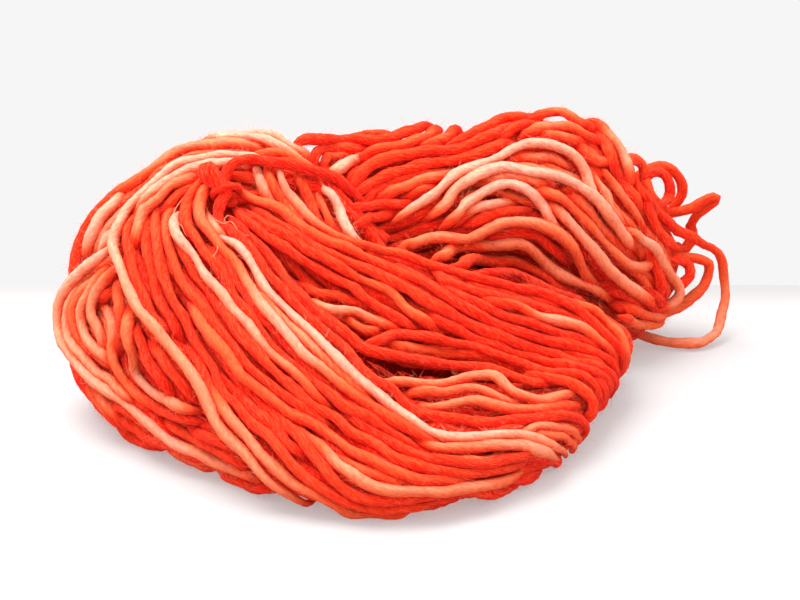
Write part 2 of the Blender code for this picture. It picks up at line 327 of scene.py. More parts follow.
FIBRE_STRETCH = (1.9, 1.9, 0.36)          # a fibre mark is far longer along the strand than it is wide
FLECK_STRETCH = (0.7, 0.7, 0.5)
LIT_FIBRE = (0.98, 0.13, 0.045, 1)        # the fibres that took up less of the dye
BLOOM = (1.0, 0.5, 0.33, 1)               # the light that the fuzz scatters
FIBRE_RELIEF = 0.0012                     # m


def wool(name):
    """Matt singles wool: the dye with its painted light and shade, streaked by fibres that lie along the
    twist, with a soft bloom.
    """
    material, start, shader = new_material(name, Specular_IOR_Level=0.05, Sheen_Weight=0.12,
                                           Sheen_Roughness=0.45, Sheen_Tint=BLOOM)
    dye_and_shade = start.node("ShaderNodeAttribute", {"attribute_name": "dye_and_shade"}, output="Color")
    fibre = start.node("ShaderNodeAttribute", {"attribute_name": "fibre"}, output="Vector")
    drawn_out = start.node("ShaderNodeVectorMath", {"operation": "MULTIPLY"}, at0=fibre, at1=FIBRE_STRETCH)
    streaks = start.node("ShaderNodeTexNoise", Vector=drawn_out, Scale=1, Detail=4, Roughness=0.75)
    clumped = start.node("ShaderNodeVectorMath", {"operation": "MULTIPLY"}, at0=fibre, at1=FLECK_STRETCH)
    flecks = start.node("ShaderNodeTexNoise", Vector=clumped, Scale=1, Detail=2, Roughness=0.5)
    # Where a streak is dark it is redder too, so its green and blue fall further than its red.
    red = streaks * 0.9 + flecks * 0.4 + 0.35
    green_and_blue = streaks * 2.2 + flecks - 0.6
    tint = start.node("ShaderNodeCombineColor", Red=red, Green=green_and_blue, Blue=green_and_blue)
    uneven = start.node("ShaderNodeMix", {"data_type": "RGBA", "blend_type": "MULTIPLY"}, output=2,
                        at0=1.0, at6=dye_and_shade, at7=tint)
    coloured = start.node("ShaderNodeMix", {"data_type": "RGBA"}, output=2,
                          at0=streaks * 3.2 - 1.5, at6=uneven, at7=LIT_FIBRE)
    bumped = start.node("ShaderNodeBump", Strength=1.0, Distance=FIBRE_RELIEF,
                        Height=streaks * 0.9 + flecks * 0.5)
    rough = 0.82 + streaks * 0.25
    for value, socket in ((coloured, "Base Color"), (rough, "Roughness"), (bumped, "Normal")):
        start.tree.links.new(value.socket, shader.inputs[socket])
    return material


yarn_wool = wool("soft singles wool")
free_strands = []

for name, places in LOOPS.items():
    line = respaced(evenly(from_plan(places), LOOP_STEPS), POINT_SPACING * MM)
    strand = Strand(line, LOOP_DYES[name], LOOP_RADIUS)
    free_strands.append(strand)
    loop = spin(f"{name}_yarn", [strand])
    loop.data.materials.append(yarn_wool)
    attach(loop, "root")
    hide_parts(name)
    steps_of(line).sum()


# ---- The tie --------------------------------------------------------------------------------------------
# A cut piece of the same yarn goes once over the neck of the hank, out of the valley behind it, and is
# knotted at the front left. A short free end stands up out of the knot, and the other runs down among the
# strands. It is dyed plain vermilion and holds by its knot alone.

TIE_WRAP = ((-12, 34, 64), (-16, 32, 76), (-22, 26, 84), (-30, 21, 90), (-40, 17, 94), (-49, 15, 96),
            (-59, 13, 97), (-64, 10, 93), (-64, 7, 86))
TIE_FREE_END = ((-62, 6, 85), (-65, 6.5, 88), (-68, 7.5, 92), (-71, 9, 97))
TIE_TAIL = ((-64, 7, 87), (-66, 2, 81), (-64, -3, 75), (-59, -7, 68), (-52, -9, 60))
TIE_KNOT = ((-59, 10, 86), (-61, 6, 89), (-66, 4, 89), (-68, 7, 85), (-65, 9, 82), (-60, 7, 83))
TIE_ROUTES = {"tie_wrap": TIE_WRAP, "tie_free_end": TIE_FREE_END,
              "tie_tail": TIE_TAIL, "tie_knot": TIE_KNOT}
TIE_DYES = (0.1, 0.02, 0.06, 0.0, 0.1)
# How thick the tie is along each length. It is pulled thin in the knot and frays out at its free end.
TIE_SWELL = {
    "tie_wrap": (0.75, 0.8, 0.85, 0.7),
    "tie_free_end": (0.8, 1.1, 1.5, 1.6, 1.2),
    "tie_tail": (0.85, 0.85, 0.8),
    "tie_knot": (0.55, 0.6, 0.55),
}
TIE_STEPS = 200               # places at which its smooth curves are worked out

tie_wool = wool("tie wool")
tie_lines, tie_pieces = {}, {}
for name, places in TIE_ROUTES.items():
    tie_lines[name] = respaced(evenly(from_plan(places), TIE_STEPS), POINT_SPACING * MM)
    strand = Strand(tie_lines[name], TIE_DYES, swell=TIE_SWELL[name])
    free_strands.append(strand)
    tie_pieces[name] = spin(name, [strand])
    tie_pieces[name].data.materials.append(tie_wool)
    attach(tie_pieces[name], "root")
    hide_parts("tie")
wrap_line = tie_lines["tie_wrap"]
steps_of(wrap_line).sum()


# ---- The front lobe -------------------------------------------------------------------------------------
# From the tie the turns of yarn fan out over the front, sweep round to the right and fold under. They lie
# in sheaves side by side, some strands deeper than others, and nothing holds them but their own weight.

FRONT_LOBE = {
    "outer_fall": ((-76, 20, 78), (-90, 5, 67), (-94, -9, 53), (-84, -28, 41),
                   (-47, -60, 18), (-10, -76, 11), (26, -63, 11), (54, -36, 10), (44, -18, 10)),
    "middle_fall": ((-70, 22, 80), (-79, 2, 70), (-80, -12, 56), (-62, -34, 42),
                    (-38, -50, 28), (-6, -60, 18), (28, -49, 16), (61, -27, 12), (50, -10, 10)),
    "inner_fall": ((-64, 22, 80), (-70, -1, 67), (-60, -18, 53), (-36, -37, 38),
                   (-8, -48, 26), (18, -46, 21), (44, -34, 18), (66, -19, 15), (54, -4, 11)),
    "ribbon": ((-58, 22, 80), (-61, -2, 65), (-48, -15, 53), (-22, -29, 39),
               (2, -37, 27), (24, -34, 21), (48, -24, 18), (70, -11, 16), (58, 1, 12)),
    "slant": ((-51, 22, 80), (-49, 2, 65), (-33, -10, 49), (-9, -20, 33),
              (14, -22, 24), (34, -19, 20), (55, -11, 18), (74, -2, 17), (62, 7, 12)),
    "upper_slant": ((-44, 23, 79), (-37, 5, 64), (-19, -6, 48), (7, -12, 37),
                    (32, -9, 28), (49, -3, 23), (64, 3, 20), (79, 10, 18), (66, 18, 12)),
    "top_slant": ((-37, 25, 77), (-28, 10, 64), (-10, 2, 53), (17, -3, 43),
                  (40, 1, 35), (57, 6, 29), (71, 11, 24), (82, 17, 19), (70, 24, 12)),
    "ridge": ((-31, 28, 74), (-20, 15, 62), (0, 8, 52), (26, 7, 45),
              (46, 10, 38), (60, 14, 33), (72, 18, 27), (82, 23, 20), (72, 30, 12)),
}
FRONT_RADII = (9, 12, 13, 13, 13, 12, 12, 11, 9)
LANE_WIDTH = 13               # mm, from one sheaf to the next where the fan is well spread
LEAST_BEND = 4                # mm, the tightest bend that a turn takes round the side of a lobe
NUDGE = 0.05                  # lanes and stations to either side, from which a lobe's directions are read
TURN_RADIUS = 2.3             # mm, a little thinner than slack yarn, since the turns are drawn out
UNDER_DEPTH = 5               # mm from the first layer of a lobe's turns to the one underneath
JITTER = 1.2                  # mm that a turn between two named courses may lie deeper
STATIONS = 25                 # places along a turn at which its course is worked out
TURN_STEPS = 160              # places at which its smooth curve is
WANDER_STEPS = 30             # of these over which it wanders aside
# How far turns wander aside, in lanes, and in and out, in mm.
WANDERS = {"named": (0.03, 0.3), "between": (0.08, 0.7), "under": (0.15, 0.8)}
# The least and most of the paleness of the named courses beside them that other turns have.
PALENESS = {"between": (0.5, 1.1), "under": (0.3, 0.9)}
# How much that changes along one of them, over how many stations.
UNEVEN_TURN = {"between": (8, 0.06), "under": (8, 0.05)}


def surface_weights(position, last):
    """The four table rows around a position, and how much each counts."""
    first = np.clip(np.floor(position).astype(int), 0, last - 1)
    t = position - first
    weights = 0.5 * np.stack((-t + 2 * t ** 2 - t ** 3, 2 - 5 * t ** 2 + 3 * t ** 3,
                              t + 4 * t ** 2 - 3 * t ** 3, -t ** 2 + t ** 3), axis=-1)
    return first[:, None] + np.arange(4), weights


class Lobe:
    """A fan of sheaves as one smooth surface, with lanes across it and stations along it."""

    def __init__(self, sheaves, radii, outward):
        places = from_plan(list(sheaves.values()))
        places = np.concatenate((2 * places[:1] - places[1:2], places, 2 * places[-1:] - places[-2:-1]))
        self.places = np.concatenate((2 * places[:, :1] - places[:, 1:2], places,
                                      2 * places[:, -1:] - places[:, -2:-1]), axis=1)
        self.radii = radii
        self.outward = outward
        self.lanes = len(sheaves) - 1
        self.stations = len(radii) - 1

    def middle(self, lane, station):
        lane_rows, lane_weights = surface_weights(lane, self.lanes)
        station_rows, station_weights = surface_weights(station, self.stations)
        corners = self.places[lane_rows[:, :, None], station_rows[:, None, :]]
        return np.einsum("na,nb,nabc->nc", lane_weights, station_weights, corners)

    def at(self, lane, station, depth):
        """Places that deep under the sheaves' skin. Lanes past the last sheaf go round its side."""
        lane, station = np.asarray(lane, float), np.asarray(station, float)
        inside = np.clip(lane, 0, self.lanes)
        middle = self.middle(inside, station)
        along = self.middle(inside, station + NUDGE) - self.middle(inside, station - NUDGE)
        across = self.middle(inside + NUDGE, station) - self.middle(inside - NUDGE, station)
        along /= np.linalg.norm(along, axis=1)[:, None]
        across -= along * (across * along).sum(1)[:, None]
        across /= np.linalg.norm(across, axis=1)[:, None]
        outward = self.outward * np.cross(along, across)
        reach = np.interp(station, np.arange(len(self.radii)), self.radii) - YARN_RADIUS - depth
        past = lane - inside
        angle = np.clip(past * LANE_WIDTH / np.maximum(reach, LEAST_BEND), -math.pi, math.pi)[:, None]
        return middle + reach[:, None] * MM * (outward * np.cos(angle) + across * np.sin(angle))


def smoothed(values, positions):
    """Values read off a smooth curve through them, at positions from 0 to 1 along it."""
    return curve_points(np.reshape(values, (-1, 1)), positions * (len(values) - 1))[:, 0]


def lay(lobe, kind, lanes, depths, dyes):
    """A strand through a lobe, by its lane and depth at evenly spaced stations."""
    steps = np.linspace(0, 1, TURN_STEPS)
    stray, dip = WANDERS[kind]
    lane = smoothed(lanes, steps) + wander(TURN_STEPS, WANDER_STEPS, stray)
    depth = smoothed(depths, steps) + wander(TURN_STEPS, WANDER_STEPS, dip)
    line = respaced(lobe.at(lane, steps * lobe.stations, depth), POINT_SPACING * MM)
    return Strand(line, dyes, TURN_RADIUS)


def fan(lobe, courses):
    """All strands of a lobe: its named courses, those that lie between them, and a layer underneath.

    A course is its number in the fan, then lanes, depths and paleness, each at evenly spaced stations.
    """
    numbers = [course[0] for course in courses.values()]

    def at_stations(values):
        return evenly(np.reshape(values, (-1, 1)), STATIONS)[:, 0]

    tables = [[at_stations(course[column]) for course in courses.values()] for column in (1, 2, 3)]

    def between(number):
        return [np.array([np.interp(number, numbers, values) for values in zip(*table)]) for table in tables]

    def uneven(kind, dyes):
        return dyes * rng.uniform(*PALENESS[kind]) + wander(STATIONS, *UNEVEN_TURN[kind])

    strands = []
    for number in range(numbers[-1] + 1):
        lanes, depths, dyes = between(number)
        if number in numbers:
            strands.append(lay(lobe, "named", lanes, depths, dyes))
        else:
            dyes = uneven("between", dyes)
            strands.append(lay(lobe, "between", lanes, depths + rng.uniform(0, JITTER), dyes))
    for number in range(numbers[-1]):
        lanes, depths, dyes = between(number + 0.5)
        strands.append(lay(lobe, "under", lanes, depths + UNDER_DEPTH, uneven("under", dyes)))
    return strands


# The named courses of the front lobe, from its outer edge to the ridge: number in the fan, lanes at the nine
# stations, depths in mm at nine or fewer, and how pale the dye is along the strand. They lie a little deeper
# than the sheaves' skin, under the turns that show.
# Paleness below 0 is painted shade, for the turns deep in the hollow, under the slant and behind the ridge.
FRONT_COURSES = {
    "edge": (0, (0.0, -0.9, -0.6, -0.8, -1.6, -2.1, -2.4, -2.5, -2.4), (6, 3, 3, 3, 3), (0.2, 0.3, 0.2)),
    "left_red": (3, (0.1, -0.3, 0.5, 0.4, -0.1, -1.1, -1.7, -2.0, -2.0), (7, 4, 3.5, 3.5, 3.5),
                 (0.2, 0.1, 0.2)),
    "left_orange": (6, (0.5, 0.65, 1.05, 0.95, 0.75, 0.0, -1.1, -1.4, -1.4), (8, 4, 3.5, 3.5, 3.5),
                    (0.2, 0.2, 0.3)),
    "under_peach": (8, (0.8, 0.95, 1.65, 1.45, 1.3, 0.6, -0.7, -1.0, -1.0), (9, 4, 3.5, 3.5, 4),
                    (0.2, 0.1, 0.1)),
    "under_pale": (10, (1.5, 2.3, 2.35, 1.95, 1.7, 1.1, -0.15, -0.6, -0.6), (9, 4, 3.5, 3.5, 4),
                   (0.2, 0.1, 0.2)),
    "hollow_rim": (12, (2.6, 3.6, 3.3, 2.75, 2.05, 1.5, 0.75, 0.75, 0.6), (9, 5, 5, 5, 5), (0, -0.1, 0)),
    "hollow_side": (13, (2.9, 3.85, 3.6, 3.1, 2.2, 1.8, 1.1, 1.1, 0.9), (8, 8, 9, 12, 13, 12, 8, 6, 5),
                    (-0.1, -0.25, -0.25, -0.1)),
    "hollow_floor": (15, (3.3, 4.0, 3.8, 3.0, 2.5, 2.7, 1.85, 1.6, 1.5),
                     (11, 12, 13, 14, 14, 13, 10, 7, 6), (-0.1, -0.3, -0.3, -0.1)),
    "hollow_back": (18, (3.4, 4.05, 3.8, 3.3, 3.2, 3.5, 2.5, 2.1, 1.9), (11, 12, 13, 14, 13, 11, 8, 5, 5),
                    (-0.1, -0.3, -0.2, 0)),
    "under_slant": (20, (3.2, 4.0, 3.6, 3.8, 4.5, 4.2, 3.3, 2.6, 2.3), (9, 10, 11, 11, 8, 7, 5, 4, 4),
                    (0, -0.2, -0.1, 0)),
    "slant_red": (21, (3.1, 4.2, 4.3, 4.45, 4.9, 4.55, 3.75, 3.0, 2.7), (8, 6, 6, 5, 4, 3.5, 3.5, 3.5, 4),
                  (0.1, 0.1)),
    "lower_fall": (23, (3.15, 4.7, 5.5, 5.4, 5.3, 5.2, 4.45, 3.8, 3.5), (8, 4, 3.5, 3.5, 4),
                   (0.2, 0.1, 0.1)),
    "broad_fall": (25, (3.4, 5.2, 5.85, 5.85, 5.85, 5.8, 5.4, 4.3, 3.9), (8, 4, 3.5, 3.5, 4),
                   (0.2, 0.1, 0.1)),
    "ridge_red": (27, (5.7, 6.0, 6.5, 6.6, 6.95, 7.2, 7.2, 6.5, 6.0), (8, 4, 3.5, 3.5, 4),
                  (0.1, 0.1, 0.2)),
    "ridge_edge": (28, (7.1, 6.9, 7.0, 7.2, 7.5, 7.7, 7.8, 7.4, 6.8), (7, 4, 4, 4, 4),
                   (0.1, 0, -0.1, 0.05)),
    "behind_ridge": (30, (7.8, 7.8, 8.0, 8.2, 8.4, 8.5, 8.6, 8.4, 8.0), (7, 6, 7, 7, 5),
                     (0.1, -0.2, -0.3, 0)),
}
front = Lobe(FRONT_LOBE, FRONT_RADII, 1)
front_strands = fan(front, FRONT_COURSES)


# ---- The left lobe --------------------------------------------------------------------------------------
# Behind the tie the turns rise out of the valley, cross the crown to the left, bend down round the left
# end and run back under the front lobe. Most of them are dyed pale.

LEFT_LOBE = {
    "crown": ((-14, 30, 54), (-31, 25, 76), (-53, 22, 84), (-78, 17, 80),
              (-97, 10, 63), (-103, 0, 41), (-88, -26, 20), (-48, -55, 11)),
    "rim": ((-10, 40, 66), (-30, 34, 80), (-55, 33, 89), (-84, 28, 82),
            (-107, 19, 63), (-114, 6, 37), (-98, -17, 16), (-62, -45, 11)),
    "outer_rim": ((-8, 52, 62), (-30, 43, 73), (-57, 43, 78), (-86, 38, 70),
                  (-109, 24, 48), (-112, 8, 23), (-96, -12, 11), (-60, -36, 11)),
    "left_back": ((-8, 62, 50), (-29, 50, 58), (-58, 51, 59), (-86, 45, 49),
                  (-106, 27, 31), (-105, 7, 13), (-88, -10, 12), (-56, -26, 12)),
    "left_under": ((-8, 64, 32), (-28, 53, 37), (-56, 55, 36), (-84, 46, 28),
                   (-101, 27, 15), (-92, 8, 12), (-68, -8, 12), (-40, -20, 14)),
    "left_sole": ((-8, 58, 14), (-29, 48, 16), (-54, 48, 15), (-78, 37, 12),
                  (-90, 18, 11), (-80, 0, 12), (-56, -10, 12), (-30, -16, 13)),
}
LEFT_RADII = (8, 11, 12, 13, 13, 13, 12, 11)
# The named courses of the left lobe, from inside its bend, over the crown and down the back. They start deep
# in the valley, and lie a little deeper in front, under the turns that show.
LEFT_COURSES = {
    "inside": (0, (-1.2, -1.2, -1.1, -1.3, -1.6, -1.4, -1.5, -1.2), (12, 9, 5, 5, 5, 4, 4, 3),
               (0.1, 0.1, 0.1)),
    "inner_red": (3, (-0.6, -0.6, -0.6, -0.8, -1.0, -0.6, -0.7, -0.9), (12, 9, 5, 5, 5, 4, 4, 3),
                  (0.1, 0.15, 0.1)),
    "crown_low": (6, (-0.1, -0.1, 0.0, 0.1, 0.1, 0.2, 0.2, 0.0), (12, 9, 5, 5, 5, 4, 4, 3),
                  (0.2, 0.3, 0.2, 0.2)),
    "brow": (9, (0.7, 0.7, 0.6, 0.55, 0.55, 0.8, 0.8, 0.6), (12, 9, 5, 5, 5, 4, 4, 3),
             (0.2, 0.4, 0.3, 0.3, 0.2)),
    "outline": (11, (1.0, 1.0, 0.95, 0.95, 1.0, 1.4, 1.4, 1.0), (12, 8, 4.5, 4.5, 4, 3, 3, 3),
                (0.3, 0.3, 0.2, 0.2)),
    "low_outline": (13, (1.5, 1.5, 1.45, 1.5, 1.6, 2.0, 1.9, 1.5), (10, 7, 3.5, 3, 2, 2, 2, 2),
                    (0.4, 0.2, 0.1, 0.2)),
    "under_end": (29, (6.0, 6.0, 6.1, 6.1, 6.0, 5.8, 5.8, 5.4), (3, 1, 0, 0, 2), (0.3, 0.2, 0.3, 0.1)),
}
left = Lobe(LEFT_LOBE, LEFT_RADII, -1)
left_strands = fan(left, LEFT_COURSES)


# ---- The back lobe --------------------------------------------------------------------------------------
# The other half of the ring leaves the neck to the right, rises over the back in loose arcs and folds down
# at the right-hand end, where the turns stand apart. The arcs towards the front are the palest.

BACK_LOBE = {
    "valley": ((-34, 28, 46), (-14, 34, 48), (14, 40, 46), (42, 44, 42),
               (64, 48, 36), (84, 52, 27), (97, 58, 17), (86, 62, 12)),
    "front_arc": ((-34, 31, 52), (-14, 38, 57), (11, 42, 61), (36, 44, 64),
                  (60, 46, 56), (81, 51, 42), (98, 59, 23), (88, 65, 12)),
    "middle_arc": ((-36, 34, 58), (-16, 42, 64), (7, 47, 69), (32, 50, 75),
                   (58, 51, 73), (82, 56, 57), (101, 65, 30), (92, 70, 12)),
    "high_arc": ((-40, 37, 66), (-19, 46, 71), (2, 54, 77), (28, 59, 82),
                 (56, 62, 86), (82, 65, 72), (104, 71, 38), (96, 76, 12)),
    "top_arc": ((-43, 40, 72), (-23, 51, 79), (-2, 60, 83), (24, 68, 82),
                (57, 74, 88), (84, 76, 75), (104, 78, 40), (98, 80, 12)),
    "back_arc": ((-44, 45, 60), (-22, 56, 65), (2, 70, 70), (30, 80, 71),
                 (58, 86, 72), (84, 85, 57), (102, 82, 30), (92, 78, 12)),
    "back_wall": ((-44, 50, 46), (-22, 58, 49), (4, 75, 53), (32, 87, 53),
                  (60, 92, 50), (84, 89, 37), (98, 83, 18), (88, 78, 12)),
    "back_foot": ((-42, 50, 30), (-20, 57, 32), (6, 74, 34), (34, 87, 32),
                  (62, 91, 28), (84, 86, 18), (90, 78, 12), (80, 74, 12)),
    "back_sole": ((-40, 44, 15), (-18, 52, 14), (10, 68, 12), (38, 80, 11),
                  (62, 82, 11), (80, 78, 11), (84, 70, 12), (74, 66, 14)),
}
BACK_RADII = (8, 11, 13, 13, 13, 12, 11, 8)
# The named courses of the back lobe, from the valley over the arcs and the top to the table behind. Those up
# to the crest lie a little deeper, under the turns that show.
# Paleness below 0 is painted shade, for the turns deep in the valley.
BACK_COURSES = {
    "valley_floor": (0, (-1.0, -0.9, -0.9, -0.9, -0.9, -0.9, -0.9, -0.7), (6, 11, 14, 12, 6),
                     (-0.1, -0.3, -0.3, -0.1)),
    "valley_red": (3, (-0.3, -0.2, 0.15, 0.3, 0.05, -0.05, -0.2, -0.3), (6, 10, 13, 11, 6),
                   (-0.1, -0.25, -0.2, 0)),
    "low_bed": (6, (0.4, 0.5, 0.8, 0.9, 0.8, 0.6, 0.5, 0.4), (5, 5, 6, 6, 5), (0, -0.05, 0, 0.1)),
    "arc_bed": (9, (1.1, 1.2, 1.5, 1.6, 1.6, 1.4, 1.3, 1.2), (6, 5, 4.5, 4.5, 5),
                (0.1, 0.3, 0.6, 0.6, 0.4)),
    "high_bed": (13, (2.0, 2.1, 2.4, 2.5, 2.5, 2.3, 2.1, 2.0), (6, 5, 4.5, 4.5, 5),
                 (0.1, 0.2, 0.6, 0.6, 0.4)),
    "crest": (19, (3.3, 3.4, 3.6, 3.6, 3.6, 3.6, 3.4, 3.2), (6, 5, 4.5, 4.5, 5),
              (0.1, 0.1, 0.3, 0.4, 0.4)),
    "over_top": (21, (3.9, 4.0, 4.2, 4.2, 4.2, 4.2, 4.0, 3.8), (5, 4.5, 4, 4, 4), (0.15, 0.1, 0.2, 0.3)),
    "down_back": (33, (6.6, 6.6, 6.7, 6.7, 6.7, 6.7, 6.6, 6.4), (2, 1, 0, 0, 2), (0.1, 0.2, 0.1, 0.15)),
    "sole": (41, (8.6, 8.6, 8.7, 8.8, 8.8, 8.7, 8.6, 8.4), (2, 1, 0, 0, 2), (0.1, 0.2, 0.1, 0.15)),
}
back = Lobe(BACK_LOBE, BACK_RADII, 1)
back_strands = fan(back, BACK_COURSES)


# ---- The turns that show --------------------------------------------------------------------------------
# The outermost turns differ most from each other in course and colour, so each lies where the picture shows
# it, on the skin of the CAD's hank. Both of its ends dip in among the turns below.

PICTURE_MIDDLE = (400, 300)   # pixels
ROUTE_STEPS = 300             # places at which a route's smooth curve is worked out
STEP_SEEN = 4                 # pixels between the places at which a turn is laid on the hank
SMOOTHING = 12                # times that each of these is brought level with the two beside it
SUNK = 1.0                    # mm from the hank's skin to the middle of a turn
TUCK = 9                      # mm that its ends go deeper
TUCK_LENGTH = 11              # mm of it over which they do
TUCK_BEND = 1.6               # the more it is, the later they turn down
RED_TIP = 0.2                 # how much of its paleness a turn keeps at the very end
SHOWN_FIRM = 12               # how many times firmer the turns that show lie than those below
TAPERED = (0.5, 1, 1, 1, 1, 1, 1, 1, 1, 0.5)
NEAREST, FURTHEST = 500, 760  # mm from the camera between which the hank lies
TRY_EVERY = 5.0               # mm

skin_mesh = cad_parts["hank"].data
skin = BVHTree.FromPolygons([vertex.co.copy() for vertex in skin_mesh.vertices],
                            [tuple(face.vertices) for face in skin_mesh.polygons])


def sights(pixels):
    """Steps of one millimetre away from the camera, through these pixels of the picture."""
    across, down = ((pixels - PICTURE_MIDDLE) * PIXEL_SIZE).T
    level, steep = math.cos(VIEW_DOWN), math.sin(VIEW_DOWN)
    steps = np.column_stack((across, VIEW_DISTANCE * level - down * steep,
                             -VIEW_DISTANCE * steep - down * level))
    return steps / np.linalg.norm(steps, axis=1)[:, None] * MM


def reached(step):
    """How far along a sight, in mm, the hank's skin is met or, past its outline, comes nearest."""
    eye = np.array(camera.location)
    met = skin.ray_cast(Vector(eye), Vector(step))
    if met[0] is not None:
        return met[3] / MM
    tried = np.arange(NEAREST, FURTHEST, TRY_EVERY)
    return tried[int(np.argmin([skin.find_nearest(Vector(eye + step * far))[3] for far in tried]))]


def seen(radius, fade, dyes, deeper, *route):
    """The turn that the picture shows along a route of pixels, some mm deeper than the outermost ones.

    Its dye deepens to red over the last fade mm at both ends, where it goes under other turns.
    """
    steps = sights(respaced(evenly(route, ROUTE_STEPS), STEP_SEEN))
    far = np.array([reached(step) for step in steps])
    for _ in range(SMOOTHING):
        far[1:-1] = 0.25 * far[:-2] + 0.5 * far[1:-1] + 0.25 * far[2:]
    along = np.concatenate(((0,), np.cumsum(steps_of(steps * far[:, None])))) / MM
    to_end = np.minimum(along, along[-1] - along)
    sunk = SUNK + deeper + TUCK * np.clip(1 - to_end / TUCK_LENGTH, 0, 1) ** TUCK_BEND
    line = respaced(np.array(camera.location) + steps * (far + sunk)[:, None], POINT_SPACING * MM)
    line[:, 2] = np.maximum(line[:, 2], radius * MM)
    share = np.linspace(0, 1, len(line))
    to_tip = np.minimum(share, 1 - share) * along[-1]
    paleness = spread(dyes, len(line)) * np.clip(RED_TIP + to_tip / max(fade, 1), 0, 1)
    return Strand(line, paleness, radius, firm=SHOWN_FIRM, swell=TAPERED)


